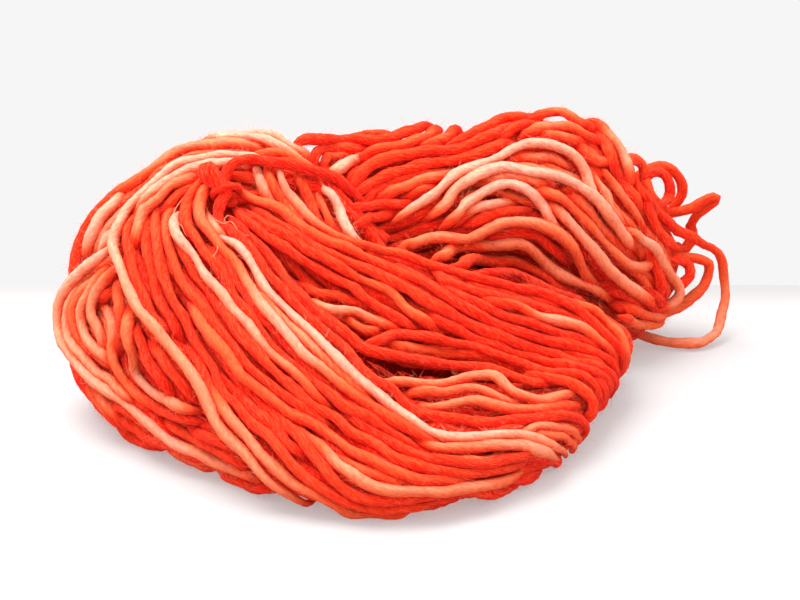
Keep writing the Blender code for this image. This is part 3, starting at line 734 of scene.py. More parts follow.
# Each has its dye along the strand, how much deeper it lies in mm, and its route in pixels.
BACK_SHOWN = {
    "far_left_outline": ((0.1, 0.05, 0.1), 0, (293, 156), (298, 147), (305, 142), (316, 141), (330, 143),
                         (345, 144), (360, 142), (375, 143), (390, 140), (405, 135), (417, 130),
                         (428, 126), (436, 130)),
    "outline_bump": ((0.15, 0.25, 0.15), 1, (346, 144), (357, 138), (368, 135), (380, 135), (391, 138),
                     (400, 143)),
    "left_loop": ((0.1, 0.2, 0.1), 1, (314, 172), (314, 160), (317, 151), (325, 147), (338, 148),
                  (355, 150), (372, 150)),
    "left_loop_inside": ((0.2, 0.35, 0.2), 1, (322, 172), (321, 162), (326, 156), (336, 154), (348, 153),
                         (362, 151)),
    "pale_glimpse": ((0.6, 0.8, 0.7, 0.3), 1, (318, 190), (327, 180), (336, 173), (347, 167), (360, 160),
                     (374, 154)),
    "rising_red": ((0.2, 0.25, 0.15), 0, (345, 192), (350, 180), (358, 170), (370, 162), (383, 153),
                   (396, 146)),
    "rising_salmon": ((0.15, 0.3, 0.3), 0.5, (352, 170), (364, 160), (378, 152), (392, 147), (408, 142),
                      (424, 138), (436, 133), (442, 132)),
    "second_bump": ((0.15, 0.3, 0.2), 0.5, (412, 155), (426, 148), (438, 142), (449, 136), (457, 132),
                    (463, 135)),
    "long_red": ((0.1, 0.15, 0.05, 0.2), -1, (348, 196), (355, 180), (366, 167), (382, 160), (400, 155),
                 (425, 152), (450, 151), (470, 146), (487, 139), (503, 133), (518, 128)),
    "top_left_outline": ((0.2, 0.1, 0.15, 0.2), 0, (440, 152), (453, 145), (466, 138), (479, 131),
                         (493, 124), (505, 120), (520, 119), (535, 119), (545, 114)),
    "top_arch": ((0.1, 0.3, 0.4, 0.3, 0.1), -1.5, (524, 123), (535, 118), (545, 113), (556, 112),
                 (565, 114), (574, 120), (585, 126), (596, 133)),
    "upper_red": ((0.1, 0.05, 0.2), 0, (348, 202), (362, 191), (378, 183), (395, 175), (415, 169),
                  (437, 165), (455, 162), (472, 156), (488, 149), (503, 143), (518, 141)),
    "middle_red": ((0.1, 0.15, 0.1), 0.5, (352, 208), (368, 195), (385, 186), (402, 179), (420, 174),
                   (440, 171), (460, 169)),
    "bright_orange": ((0.2, 0.4, 0.4, 0.5), 0, (366, 208), (381, 199), (396, 191), (412, 185), (428, 180),
                      (445, 176), (462, 171)),
    "under_orange": ((0.1, 0.3, 0.5), 0.5, (392, 205), (407, 197), (421, 190), (436, 185), (450, 180)),
    "bright_red": ((0.05, 0.02, 0.1), -0.5, (343, 216), (355, 209), (370, 206), (386, 205), (402, 204),
                   (418, 200)),
    "neck_red": ((0.05, 0.1, 0.2), 0.5, (350, 228), (365, 220), (380, 215), (396, 213), (410, 209)),
    "great_pale_arc": ((0.5, 0.8, 0.95, 0.9, 0.8, 0.85, 0.8), -2, (386, 229), (399, 219), (412, 208),
                       (426, 200), (438, 192), (449, 182), (460, 174), (475, 168), (488, 162), (500, 156),
                       (511, 149), (525, 145), (543, 144), (558, 147), (571, 152), (580, 161), (586, 172),
                       (591, 184), (597, 196), (604, 209), (612, 223), (620, 238)),
    "inner_orange_arc": ((0.5, 0.6, 0.55), 1, (500, 166), (512, 160), (527, 158), (543, 158), (557, 162),
                         (570, 169), (580, 178)),
    "second_pale_arc": ((0.6, 0.8, 0.95, 0.9, 0.8, 0.75, 0.7), -2, (420, 222), (434, 213), (445, 203),
                        (455, 191), (468, 181), (482, 173), (498, 168), (514, 168), (530, 171),
                        (548, 175), (565, 180), (580, 187), (592, 196), (603, 208), (613, 221),
                        (621, 234), (629, 246), (636, 251)),
    "under_pale_arc": ((0.6, 0.75, 0.65), 0.5, (468, 190), (485, 182), (505, 178), (525, 179), (543, 184),
                       (558, 190)),
    "third_pale_arc": ((0.5, 0.8, 0.95, 0.85, 0.6), -2, (437, 232), (448, 224), (458, 213), (467, 203),
                       (480, 195), (493, 188), (506, 184), (519, 186), (528, 193), (536, 201), (544, 210),
                       (550, 220), (555, 231), (560, 243)),
    "tucked_salmon": ((0.6, 0.8, 0.75), 0, (448, 228), (463, 217), (478, 209), (493, 204), (508, 202),
                      (522, 201)),
    "tucked_red": ((0.1, 0.2, 0.1), 1.5, (455, 232), (470, 223), (487, 216), (505, 212), (522, 210),
                   (538, 214)),
    "thick_peach": ((0.6, 0.75, 0.7, 0.65, 0.4), -1.5, (536, 198), (547, 205), (558, 212), (569, 223),
                    (581, 236), (592, 248), (603, 261), (614, 274), (627, 286), (640, 296), (652, 305)),
    "salmon_curl": ((0.5, 0.4, 0.5, 0.6, 0.5), -1, (524, 188), (540, 190), (555, 194), (568, 202),
                    (579, 213), (589, 225), (600, 238), (612, 250), (623, 260), (634, 266), (645, 266),
                    (651, 261), (651, 254)),
    "beside_curl": ((0.5, 0.6, 0.45), 0.5, (555, 186), (571, 194), (585, 206), (597, 220), (608, 234),
                    (620, 247), (633, 257)),
    "low_arc": ((0.35, 0.5, 0.55, 0.5, 0.4), -1, (395, 253), (409, 244), (424, 240), (440, 238),
                (454, 239), (467, 239), (479, 234), (491, 228), (505, 222), (520, 220), (534, 222),
                (548, 226), (559, 233), (568, 242), (575, 252), (580, 262), (586, 273), (594, 284),
                (604, 294)),
    "low_red": ((0.1, 0, 0), 3.5, (470, 246), (490, 237), (510, 234), (530, 236), (547, 243), (560, 254),
                (572, 266)),
    "long_salmon": ((0.3, 0.4, 0.55, 0.6, 0.6, 0.4), 0, (430, 264), (442, 256), (456, 249), (472, 246),
                    (490, 245), (506, 243), (520, 245), (532, 251), (542, 259), (552, 268), (563, 276),
                    (577, 282), (592, 288), (605, 296), (616, 303)),
    "valley_red": ((0.1, 0.2, 0.15), 1.5, (447, 268), (462, 264), (478, 261), (495, 261), (512, 261),
                   (527, 266), (541, 274), (553, 282), (566, 289), (580, 292)),
    # Painted shade: the dark red of this turn deep in the valley.
    "dark_below": ((-0.35, -0.4), 4, (470, 274), (495, 273), (520, 277), (542, 287), (562, 296),
                   (585, 304)),
    "outer_of_arc": ((0.5, 0.65, 0.6, 0.5), 0, (582, 164), (591, 174), (599, 186), (606, 199), (612, 212),
                     (619, 225), (627, 233)),
    "wavy_red": ((0.3, 0.45, 0.35), 0.5, (570, 148), (580, 148), (588, 155), (597, 161), (607, 162),
                 (616, 170)),
    "hole_top": ((0.2, 0.5, 0.4, 0.2), -1, (516, 143), (525, 135), (538, 129), (553, 126), (567, 127),
                 (580, 132), (593, 139), (603, 147)),
    "hole_bottom": ((0.3, 0.5, 0.4), 0, (530, 145), (543, 139), (557, 138), (571, 141), (584, 144)),
    "top_red": ((0.1, 0.1), 0.5, (486, 152), (496, 140), (506, 131), (518, 126), (532, 124)),
    "orange_edge": ((0.2, 0.4, 0.6, 0.7, 0.5, 0.2), -1.5, (583, 123), (594, 124), (604, 130), (611, 140),
                    (619, 150), (625, 161), (628, 173), (626, 184), (620, 193)),
    "inside_edge": ((0.1, 0.15, 0.1), 0, (592, 130), (602, 139), (608, 151), (613, 164), (617, 178),
                    (619, 190)),
    "right_shoulder": ((0.3, 0.4, 0.3, 0.15), -0.5, (622, 160), (633, 158), (642, 163), (646, 173),
                       (649, 186), (654, 197), (662, 207), (672, 217)),
    "shoulder_red": ((0.1, 0.1, 0.15), 0.5, (628, 172), (635, 183), (641, 195), (647, 207), (655, 219)),
    "right_orange": ((0.45, 0.6, 0.5, 0.4), 0, (592, 170), (603, 173), (612, 181), (621, 193), (630, 205),
                     (637, 217), (641, 230), (643, 241)),
    "right_red": ((0.2, 0.35, 0.2), 0.5, (612, 172), (623, 182), (633, 194), (641, 206), (648, 219)),
    "long_right_red": ((0.05, 0.15, 0.15, 0.1), -0.5, (638, 190), (645, 203), (651, 216), (657, 230),
                       (665, 241), (675, 249), (686, 252)),
    "pale_right_loop": ((0.5, 0.8, 0.7, 0.65, 0.7, 0.5), -1, (614, 228), (626, 231), (637, 236),
                        (647, 245), (656, 256), (662, 268), (669, 278), (677, 286), (679, 293),
                        (673, 301), (662, 308), (650, 312)),
    "inside_loop_red": ((0.2, 0.1), 1.5, (640, 242), (650, 253), (657, 266), (661, 279), (660, 291),
                        (652, 299)),
    "lower_right_red": ((0.3, 0.2, 0.3), 0.5, (600, 282), (612, 290), (624, 297), (637, 303), (648, 309)),
    "foot_salmon": ((0.4, 0.5, 0.5), 0, (606, 300), (620, 305), (635, 310), (648, 316), (658, 318),
                    (664, 313)),
    "foot_peach": ((0.4, 0.6, 0.5), 0.5, (618, 316), (632, 321), (645, 323), (656, 321), (664, 316)),
    "nested_loop": ((0.1, 0.05, 0.1), 0, (640, 182), (650, 174), (660, 173), (666, 179), (669, 189),
                    (667, 199), (659, 206), (648, 210)),
    "hanging_red": ((0.1, 0.05, 0.1), 1, (662, 262), (674, 259), (685, 262), (690, 269), (687, 278),
                    (679, 284), (668, 286)),
}
LEFT_SHOWN = {
    "outline_over_crown": ((0.5, 0.6, 0.6, 0.5, 0.4, 0.2, 0.1, 0.05), 0, (270, 160), (253, 151),
                           (242, 147), (228, 144), (212, 145), (199, 147), (185, 151), (172, 156),
                           (161, 164), (150, 173), (140, 180), (126, 188), (113, 198), (103, 209),
                           (93, 221), (84, 235), (77, 250), (74, 264), (73, 280), (77, 298)),
    "inner_outline": ((0.4, 0.5, 0.45, 0.4, 0.45, 0.6), 0.5, (266, 161), (248, 153), (234, 151),
                      (219, 151), (206, 153), (192, 157), (178, 162), (163, 170), (150, 179), (131, 194),
                      (118, 205), (107, 218), (98, 232), (90, 252)),
    "long_peach": ((0.8, 0.95, 0.9, 0.95, 0.9, 0.85, 0.75, 0.65, 0.65, 0.7, 0.75, 0.7, 0.6), -2,
                   (276, 168), (262, 161), (250, 158), (239, 157), (223, 157), (208, 158), (194, 160),
                   (181, 164), (169, 172), (159, 182), (148, 192), (136, 201), (126, 211), (120, 224),
                   (115, 237), (114, 249), (118, 262), (123, 275), (128, 288), (134, 301), (142, 314),
                   (152, 326), (163, 338), (174, 349), (184, 361), (193, 373), (202, 388), (208, 403),
                   (216, 419), (228, 434), (240, 446), (251, 458), (261, 470), (272, 480), (285, 489),
                   (300, 498), (316, 507)),
    "second_crown_peach": ((0.85, 0.95, 0.95, 0.9, 0.85, 0.8), -0.5, (262, 168), (246, 164), (232, 163),
                           (221, 165), (206, 167), (194, 170), (183, 175), (171, 183), (159, 193),
                           (147, 205), (134, 222)),
    "crown_orange": ((0.45, 0.6, 0.7, 0.55), 0, (214, 174), (191, 180), (177, 188), (164, 197),
                     (153, 208), (144, 221), (138, 236), (136, 256)),
    "crown_lower_red": ((0.3, 0.4, 0.35), 1, (212, 180), (196, 183), (182, 191), (171, 201), (162, 213),
                        (157, 228)),
    "between_falls": ((0.35, 0.25, 0.2, 0.1), 0.5, (160, 200), (150, 212), (145, 228), (145, 246),
                      (149, 266), (156, 288), (165, 310), (176, 330), (188, 350)),
    "next_to_long": ((0.3, 0.2, 0.15, 0.1), 0.5, (144, 208), (134, 222), (130, 238), (130, 254),
                     (134, 272), (141, 292), (150, 310), (162, 326), (175, 342)),
    "thin_pale": ((0.8, 0.95, 0.9), 0, (134, 190), (118, 205), (103, 222), (97, 234), (93, 246),
                  (88, 264)),
    "left_salmon": ((0.75, 0.85, 0.8), 0.5, (140, 196), (128, 206), (117, 217), (108, 229), (101, 242),
                    (96, 255), (89, 266)),
    "left_pink": ((0.8, 0.9, 0.9), 0.5, (134, 208), (124, 221), (114, 232), (107, 244), (101, 256),
                  (92, 268)),
    "bulge": ((0.9, 0.95, 0.9, 0.85, 0.85, 0.8, 0.8, 0.8, 0.85, 0.8, 0.7, 0.6), -2, (122, 240),
              (112, 251), (101, 259), (90, 267), (79, 277), (69, 289), (62, 303), (60, 318), (62, 333),
              (69, 347), (78, 359), (87, 370), (98, 381), (110, 390), (123, 400), (136, 410), (149, 420),
              (160, 430), (172, 439), (186, 446), (201, 454), (217, 462), (234, 469), (250, 475),
              (265, 483)),
    "beside_bulge": ((0.7, 0.8, 0.8, 0.75, 0.7, 0.6), -0.5, (120, 250), (107, 259), (95, 268), (84, 279),
                     (75, 291), (69, 305), (67, 319), (69, 333), (75, 346), (84, 358), (95, 370),
                     (107, 380), (120, 390), (133, 400), (146, 410)),
    "pink_inside": ((0.6, 0.75, 0.75, 0.6), 0, (114, 266), (104, 281), (94, 295), (88, 310), (86, 325),
                    (91, 341), (101, 353), (113, 361), (124, 368)),
    "thin_inside": ((0.7, 0.85, 0.8), 0.5, (86, 300), (94, 312), (101, 325), (105, 339), (109, 353),
                    (118, 366)),
    "between_left": ((0.1, 0.15, 0.1), 0.5, (188, 312), (191, 329), (199, 344), (208, 358), (216, 370),
                     (225, 382), (237, 391), (250, 401), (260, 412), (271, 422), (282, 432), (292, 444),
                     (302, 455), (311, 466)),
    "inner_bulge": ((0.6, 0.65, 0.45, 0.5, 0.7), 0, (112, 274), (101, 280), (91, 287), (82, 297),
                    (76, 309), (74, 322), (78, 336), (86, 349), (97, 359), (109, 364), (119, 372)),
    "small_curl": ((0.6, 0.75, 0.7, 0.6), 0.5, (124, 262), (112, 274), (101, 287), (94, 301), (95, 316),
                   (102, 330), (106, 348), (108, 366)),
    "curl_across": ((0.4, 0.6, 0.6, 0.4), 1, (74, 290), (84, 302), (93, 314), (98, 328), (96, 342),
                    (88, 356)),
    "pink_across": ((0.4, 0.6, 0.5), 1.5, (116, 286), (104, 296), (92, 310), (84, 326), (82, 344)),
    "red_patch": ((0.1, 0.1), 2, (126, 262), (115, 272), (105, 285), (99, 300)),
    "hanging_peach": ((0.6, 0.65, 0.5, 0.4, 0.15, 0.1), -0.5, (103, 300), (107, 314), (112, 328),
                      (113, 343), (115, 358), (119, 371), (127, 383), (138, 394), (150, 404), (163, 412),
                      (178, 417), (194, 420), (208, 424)),
    "hanging_orange": ((0.3, 0.4, 0.4), 0.5, (118, 282), (121, 297), (122, 313), (121, 330), (121, 347),
                       (125, 362)),
    "lit_peach": ((0.3, 0.55, 0.75, 0.8, 0.7, 0.5), -0.5, (124, 300), (126, 318), (127, 335), (130, 351),
                  (134, 367), (141, 380), (151, 392), (163, 400), (177, 406), (192, 410), (207, 412)),
    "shade_red": ((0.1, 0.05, 0.05), 2, (133, 318), (139, 336), (146, 354), (155, 371), (167, 387),
                  (182, 400)),
    "near_long_peach": ((0.2, 0.2, 0.15), 1, (150, 340), (160, 355), (170, 370), (181, 384), (193, 397),
                        (204, 408)),
    "crossing_red": ((0.1, 0.15, 0.15), 0.5, (186, 427), (201, 434), (216, 441), (231, 450), (244, 460)),
    "crossing_orange": ((0.3, 0.3, 0.2), 0.5, (160, 420), (176, 428), (192, 436), (208, 444), (224, 453),
                        (240, 463), (255, 472)),
    "end_outline": ((0.5, 0.5, 0.45, 0.3, 0.2, 0.1), 0, (95, 375), (92, 387), (97, 397), (105, 407),
                    (114, 417), (123, 427), (134, 436), (147, 442), (160, 446), (171, 451)),
    "end_peach": ((0.7, 0.65, 0.5, 0.4), -0.5, (98, 381), (101, 392), (106, 403), (114, 413), (122, 422),
                  (132, 430)),
    "end_salmon": ((0.5, 0.3, 0.2), 1, (108, 399), (122, 408), (136, 417), (148, 427), (158, 438),
                   (166, 448)),
    "low_salmon": ((0.4, 0.6, 0.6, 0.5), 0, (163, 435), (171, 447), (182, 455), (196, 462), (211, 467),
                   (226, 471)),
    "low_red_outline": ((0.05, 0.05, 0.05), 0, (166, 447), (177, 457), (189, 465), (203, 470), (218, 471),
                        (230, 472)),
    "low_front_outline": ((0.2, 0.25, 0.15), 0, (210, 465), (222, 473), (235, 480), (249, 487),
                          (264, 489), (280, 490)),
    "orange_arch": ((0.3, 0.4, 0.4, 0.3), -1, (247, 176), (252, 164), (257, 159), (266, 155), (276, 153),
                    (286, 155), (296, 160), (304, 167), (313, 177), (322, 190)),
    "pale_over_arch": ((0.9, 1.0, 0.85, 0.6), 0, (210, 144), (236, 141), (250, 140), (266, 142),
                       (280, 149), (292, 156), (302, 163), (316, 178)),
    "pale_under_top": ((0.85, 1.0, 0.9, 0.5), 0.5, (214, 145), (234, 142), (250, 145), (261, 149),
                       (273, 155)),
    "crown_top": ((0.7, 1.0, 0.95, 0.75, 0.5), 0, (200, 145), (221, 139), (234, 137), (250, 136),
                  (264, 135), (275, 140), (286, 147), (297, 153), (312, 164)),
}
FRONT_SHOWN = {
    "neck_pale": ((0.8, 0.85, 0.6), 0, (252, 160), (257, 174), (262, 188), (268, 198), (277, 206),
                  (290, 216)),
    "neck_between": ((0.4, 0.5, 0.5, 0.35), 0, (262, 158), (268, 174), (273, 188), (281, 200), (291, 211),
                     (302, 221), (318, 233)),
    "neck_red": ((0.3, 0.4, 0.3, 0.1), 0, (290, 160), (298, 176), (305, 191), (312, 207), (318, 220),
                 (328, 234)),
    "neck_low_orange": ((0.4, 0.5, 0.4, 0.2), 0.5, (310, 180), (319, 198), (326, 213), (333, 226),
                        (343, 240)),
    "neck_end_pale": ((0.8, 1.0, 0.95, 0.8), -1.5, (312, 180), (322, 190), (332, 198), (338, 208),
                      (342, 219), (348, 231), (357, 243), (370, 252)),
    "ridge_pale_head": ((0.6, 0.85, 0.8, 0.6, 0.4, 0.3, 0.2, 0.1, 0.08, 0.08, 0.08, 0.1, 0.1, 0.1, 0.15),
                        -1.5, (274, 158), (280, 178), (286, 193), (294, 204), (304, 215), (313, 223),
                        (325, 231), (340, 239), (355, 244), (381, 250), (397, 254), (412, 259),
                        (425, 264), (438, 268), (468, 277), (498, 285), (528, 291), (542, 296),
                        (556, 302), (568, 309), (579, 317), (589, 323), (602, 337), (614, 350),
                        (619, 358), (620, 366), (617, 378)),
    "ridge_orange_head": ((0.4, 0.5, 0.45, 0.35, 0.3, 0.2, 0.12, 0.1, 0.08, 0.1, 0.1, 0.1, 0.15), -1,
                          (236, 176), (238, 192), (250, 201), (264, 207), (280, 214), (294, 225),
                          (308, 235), (322, 243), (350, 253), (375, 263), (400, 274), (425, 286),
                          (450, 300), (475, 313), (500, 326), (530, 337), (565, 347), (595, 356),
                          (604, 360), (610, 365), (614, 374), (612, 386)),
    "under_ridge": ((0.2, 0.15, 0.2, 0.15, 0.1, 0.1, 0.1), -0.5, (240, 198), (262, 214), (278, 222),
                    (292, 231), (308, 240), (322, 249), (350, 263), (378, 274), (402, 286), (428, 301),
                    (452, 314), (478, 329), (505, 340), (536, 350), (566, 358), (594, 364), (603, 370),
                    (609, 377), (612, 386), (609, 396)),
    "ridge_second": ((0.05, 0.08, 0.1, 0.12, 0.1, 0.1), -0.5, (422, 262), (437, 275), (445, 283),
                     (456, 289), (470, 293), (500, 300), (532, 307), (562, 314), (579, 320), (594, 334),
                     (608, 350), (614, 364)),
    "between_ridges": ((0.15, 0.2, 0.15, 0.1, 0.2), 0.5, (446, 276), (470, 285), (500, 292), (530, 299),
                       (560, 307), (580, 316), (598, 330), (611, 345), (616, 356)),
    "under_second": ((0.1, 0.2, 0.1, 0.1, 0.15), 0.5, (430, 279), (448, 289), (470, 299), (500, 307),
                     (530, 315), (560, 326), (585, 337), (602, 348), (612, 360)),
    "over_orange_head": ((0.2, 0.25, 0.1, 0.15, 0.1), 0.5, (390, 262), (425, 278), (460, 299), (500, 320),
                         (530, 330), (565, 339), (595, 350), (609, 362), (613, 376)),
    "over_under_ridge": ((0.25, 0.15, 0.1, 0.15, 0.1), 0.5, (370, 268), (400, 279), (430, 293),
                         (465, 318), (500, 332), (530, 343), (565, 352), (597, 361), (608, 374),
                         (610, 386)),
    "salmon_stretch": ((0.08, 0.1, 0.4, 0.75, 0.65, 0.55, 0.5, 0.5), -1.5, (470, 300), (488, 303),
                       (506, 306), (522, 311), (530, 315), (537, 318), (558, 323), (578, 328), (586, 332),
                       (594, 339), (602, 345), (608, 351), (613, 357), (615, 368)),
    "under_salmon": ((0.1, 0.1, 0.1, 0.08), -0.5, (436, 284), (452, 296), (475, 305), (500, 314),
                     (525, 322), (552, 331), (578, 339), (599, 350), (608, 360)),
    "fading_orange": ((0.1, 0.1, 0.15, 0.35, 0.45, 0.2), -0.5, (236, 208), (256, 219), (274, 229),
                      (291, 239), (308, 248), (325, 258), (340, 267), (355, 276), (366, 280), (379, 285),
                      (391, 293), (402, 303), (414, 313), (424, 320), (433, 328), (446, 339)),
    "first_fall": ((0.15, 0.15, 0.1, 0.1, 0.2), 0, (230, 202), (247, 219), (260, 228), (286, 248),
                   (314, 266), (344, 284), (371, 302), (399, 320), (412, 328), (426, 335)),
    "lower_tier": ((0.1, 0.1, 0.1, 0.1, 0.15), 0, (416, 302), (438, 318), (452, 327), (468, 334),
                   (498, 344), (520, 354), (547, 361), (578, 369), (590, 371), (600, 378), (606, 385),
                   (608, 394), (602, 404)),
    "over_hollow": ((0.05, 0.1, 0.1, 0.1, 0.12), -1, (354, 350), (368, 343), (382, 339), (398, 336),
                    (415, 337), (450, 341), (466, 345), (498, 355), (529, 366), (545, 371), (578, 375),
                    (588, 378), (595, 384), (598, 393), (593, 404)),
    "shaded_salmon": ((0.4, 0.5, 0.4, 0.2), 1.5, (380, 341), (400, 346), (415, 349), (430, 351),
                      (462, 352), (479, 355), (494, 359), (508, 364), (528, 370)),
    "far_edge": ((0.3, 0.4, 0.5, 0.6, 0.4), -0.5, (566, 300), (586, 309), (602, 319), (616, 331),
                 (621, 338), (625, 347), (626, 356), (624, 365), (617, 378)),
    "hollow_edge": ((0.1, 0.05, 0.05, 0.05, 0.05, 0.1, 0.1), 0, (226, 212), (245, 232), (256, 242),
                    (266, 252), (275, 265), (294, 288), (316, 310), (328, 320), (350, 336), (362, 345),
                    (379, 351), (410, 359), (445, 364), (480, 366), (515, 376), (546, 381), (566, 384)),
    "hollow_peach": ((0.5, 0.7, 0.65, 0.5, 0.4), 0, (308, 300), (325, 308), (338, 311), (357, 313),
                     (368, 318), (380, 323), (394, 327), (412, 332)),
    "hollow_salmon": ((0.3, 0.4, 0.3), 3, (334, 312), (351, 321), (361, 328), (372, 332), (388, 331)),
    "hollow_dim": ((0.2, 0.3, 0.2), 4, (296, 282), (316, 292), (333, 297), (352, 302), (371, 308),
                   (392, 316)),
    "upper_inside": ((0.5, 0.6, 0.6, 0.65, 0.6, 0.4), 0, (372, 380), (388, 382), (420, 385), (440, 385),
                     (457, 381), (472, 377), (488, 377), (498, 381), (505, 388), (515, 394), (527, 398),
                     (539, 402), (551, 401), (565, 396), (580, 392)),
    "middle_inside": ((0.4, 0.5, 0.6, 0.5), 1.5, (394, 402), (408, 397), (420, 394), (439, 392),
                      (457, 391), (470, 389), (482, 389), (494, 395), (504, 401), (518, 406), (532, 409)),
    "lower_inside": ((0.4, 0.55, 0.55, 0.4, 0.3), 0.5, (406, 409), (420, 408), (432, 408), (445, 406),
                     (460, 403), (475, 401), (489, 404), (502, 408), (516, 411), (532, 410), (558, 408),
                     (580, 406)),
    "low_inside_red": ((0.1, 0.1, 0.15), 1, (414, 420), (440, 429), (458, 431), (475, 432), (492, 432),
                       (524, 429), (540, 430)),
    "fold_red": ((0.1, 0.2, 0.3, 0.5), -0.5, (524, 377), (552, 382), (563, 383), (574, 387), (583, 392),
                 (590, 398), (593, 405), (590, 415), (580, 424)),
    "red_by_pale": ((0.15, 0.1, 0.05, 0.05, 0.1, 0.05, 0.05, 0.1, 0.15, 0.2), -1.5, (212, 216),
                    (230, 232), (240, 239), (249, 248), (256, 256), (262, 266), (270, 278), (289, 298),
                    (311, 320), (334, 342), (345, 351), (364, 371), (374, 380), (384, 385), (393, 391),
                    (401, 400), (410, 409), (422, 414), (440, 418), (458, 420), (476, 424), (495, 425),
                    (514, 423), (531, 421), (545, 417), (560, 416), (575, 418), (583, 422), (586, 430),
                    (580, 441)),
    "fold_pale": ((0.5, 0.65, 0.6, 0.5), 0, (504, 440), (526, 431), (539, 427), (555, 427), (566, 429),
                  (573, 435), (575, 443)),
    "fold_pale_low": ((0.5, 0.6, 0.6), 0, (518, 439), (545, 434), (561, 436), (569, 440), (573, 446),
                      (571, 453)),
    "palest": ((0.9, 1.0, 1.0, 1.0, 0.95, 0.95, 0.95, 0.95, 0.85, 0.8, 0.75, 0.7), -2, (208, 232),
               (222, 237), (232, 242), (241, 250), (249, 260), (255, 271), (261, 282), (269, 294),
               (279, 304), (301, 325), (326, 349), (349, 371), (375, 392), (383, 401), (395, 413),
               (408, 422), (420, 430), (432, 436), (445, 440), (460, 441), (490, 439), (518, 438),
               (531, 440), (544, 444), (555, 448), (562, 452), (566, 457)),
    "beside_palest": ((0.4, 0.6, 0.7, 0.65, 0.5, 0.5, 0.6, 0.75, 0.8, 0.7), -0.5, (246, 278), (262, 297),
                      (270, 309), (281, 318), (300, 335), (322, 356), (342, 376), (366, 398), (382, 413),
                      (395, 424), (408, 431), (420, 439), (430, 444), (442, 448), (458, 448), (488, 446),
                      (518, 446), (530, 449), (541, 453), (550, 457), (557, 460)),
    "honey": ((0.3, 0.5, 0.5, 0.45, 0.5, 0.75, 0.85, 0.8, 0.5, 0.3, 0.3, 0.35), -1, (222, 172),
              (206, 186), (200, 200), (199, 214), (205, 230), (218, 245), (228, 256), (238, 269),
              (245, 281), (254, 295), (262, 309), (284, 334), (305, 354), (328, 375), (338, 384),
              (352, 397), (375, 410), (398, 423), (412, 431), (425, 440), (444, 450)),
    "pale_smear": ((0.6, 0.8, 0.9), 0.5, (200, 206), (210, 222), (216, 231), (224, 240), (236, 252)),
    "right_of_peach": ((0.2, 0.3, 0.2, 0.15, 0.2, 0.2, 0.2, 0.25), 0, (212, 168), (200, 184), (190, 202),
                       (187, 217), (189, 231), (204, 251), (222, 275), (239, 300), (258, 324), (278, 349),
                       (300, 371), (322, 391), (344, 409), (368, 421), (394, 437), (406, 445),
                       (424, 454)),
    "under_honey": ((0.1, 0.1, 0.15, 0.1), 0.5, (202, 242), (220, 258), (240, 283), (258, 311),
                    (279, 338), (302, 361), (327, 383), (350, 405), (378, 424), (398, 438)),
    "fading_peach": ((0.8, 0.95, 0.9, 0.85, 0.8, 0.75, 0.6, 0.35, 0.2), -1.5, (182, 212), (174, 219),
                     (173, 229), (178, 240), (186, 251), (198, 264), (206, 276), (228, 301), (249, 326),
                     (272, 352), (298, 376), (322, 402), (338, 416)),
    "deep_red": ((0.1, 0.05, 0.1), 3, (314, 398), (332, 411), (344, 421), (362, 432), (377, 441),
                 (392, 451), (412, 462)),
    "red_sweep": ((0.1, 0.1, 0.15, 0.15, 0.25, 0.3), 0, (334, 402), (352, 419), (366, 429), (382, 439),
                  (395, 447), (411, 455), (430, 461), (448, 465), (468, 467), (485, 466), (502, 462),
                  (517, 457), (530, 452), (546, 449)),
    "short_pale": ((0.4, 0.65, 0.65, 0.4), 0.5, (424, 446), (445, 457), (464, 460), (479, 461),
                   (490, 460), (500, 455), (512, 446)),
    "left_of_peach": ((0.3, 0.3, 0.2, 0.15, 0.2, 0.25, 0.3, 0.35), 0, (170, 222), (180, 246), (195, 270),
                      (212, 295), (231, 320), (251, 345), (274, 369), (296, 391), (316, 408), (336, 419),
                      (345, 426), (356, 434), (369, 440), (380, 446), (390, 454), (400, 461), (412, 466),
                      (426, 470), (445, 474), (464, 474), (482, 472), (500, 469), (514, 464), (530, 454)),
    "wide_fall": ((0.45, 0.45, 0.35, 0.2, 0.15, 0.15, 0.2, 0.1), 0, (182, 190), (170, 206), (166, 220),
                  (167, 240), (171, 256), (183, 284), (200, 306), (218, 329), (235, 351), (254, 372),
                  (280, 391), (305, 407), (327, 421), (344, 436)),
    "orange_head": ((0.3, 0.45, 0.4, 0.35, 0.3, 0.35, 0.4, 0.4), -0.5, (190, 296), (196, 311), (204, 328),
                    (221, 349), (238, 371), (257, 391), (278, 407), (302, 421), (328, 435), (338, 441),
                    (349, 450), (374, 462), (388, 470), (402, 475), (415, 479), (430, 480), (455, 480),
                    (470, 478), (488, 472)),
    "outer_fall": ((0.4, 0.3, 0.15, 0.15, 0.2, 0.25, 0.3, 0.3), 0, (168, 196), (160, 212), (158, 228),
                   (160, 253), (166, 280), (179, 310), (192, 334), (206, 358), (220, 384), (240, 408),
                   (269, 437), (300, 470), (320, 487), (346, 501), (378, 508), (412, 504), (430, 498),
                   (450, 490)),
    "second_fall": ((0.2, 0.15, 0.15, 0.2, 0.3, 0.2), 0, (196, 316), (209, 335), (225, 360), (241, 384),
                    (260, 405), (290, 432), (320, 461), (329, 472), (339, 481), (350, 489), (362, 495),
                    (378, 499), (395, 500), (412, 499), (430, 495), (444, 490), (460, 482)),
    "second_low_pale": ((0.1, 0.15, 0.5, 0.75, 0.7, 0.65, 0.5, 0.4), 0, (188, 340), (200, 364),
                        (212, 388), (224, 408), (237, 427), (250, 443), (270, 464), (291, 481),
                        (315, 496), (341, 509), (356, 514), (375, 516), (392, 514), (408, 509),
                        (432, 499)),
    "beside_long_peach": ((0.2, 0.15, 0.3, 0.4), 0.5, (208, 380), (222, 404), (238, 430), (258, 457),
                          (278, 476), (300, 492), (318, 502)),
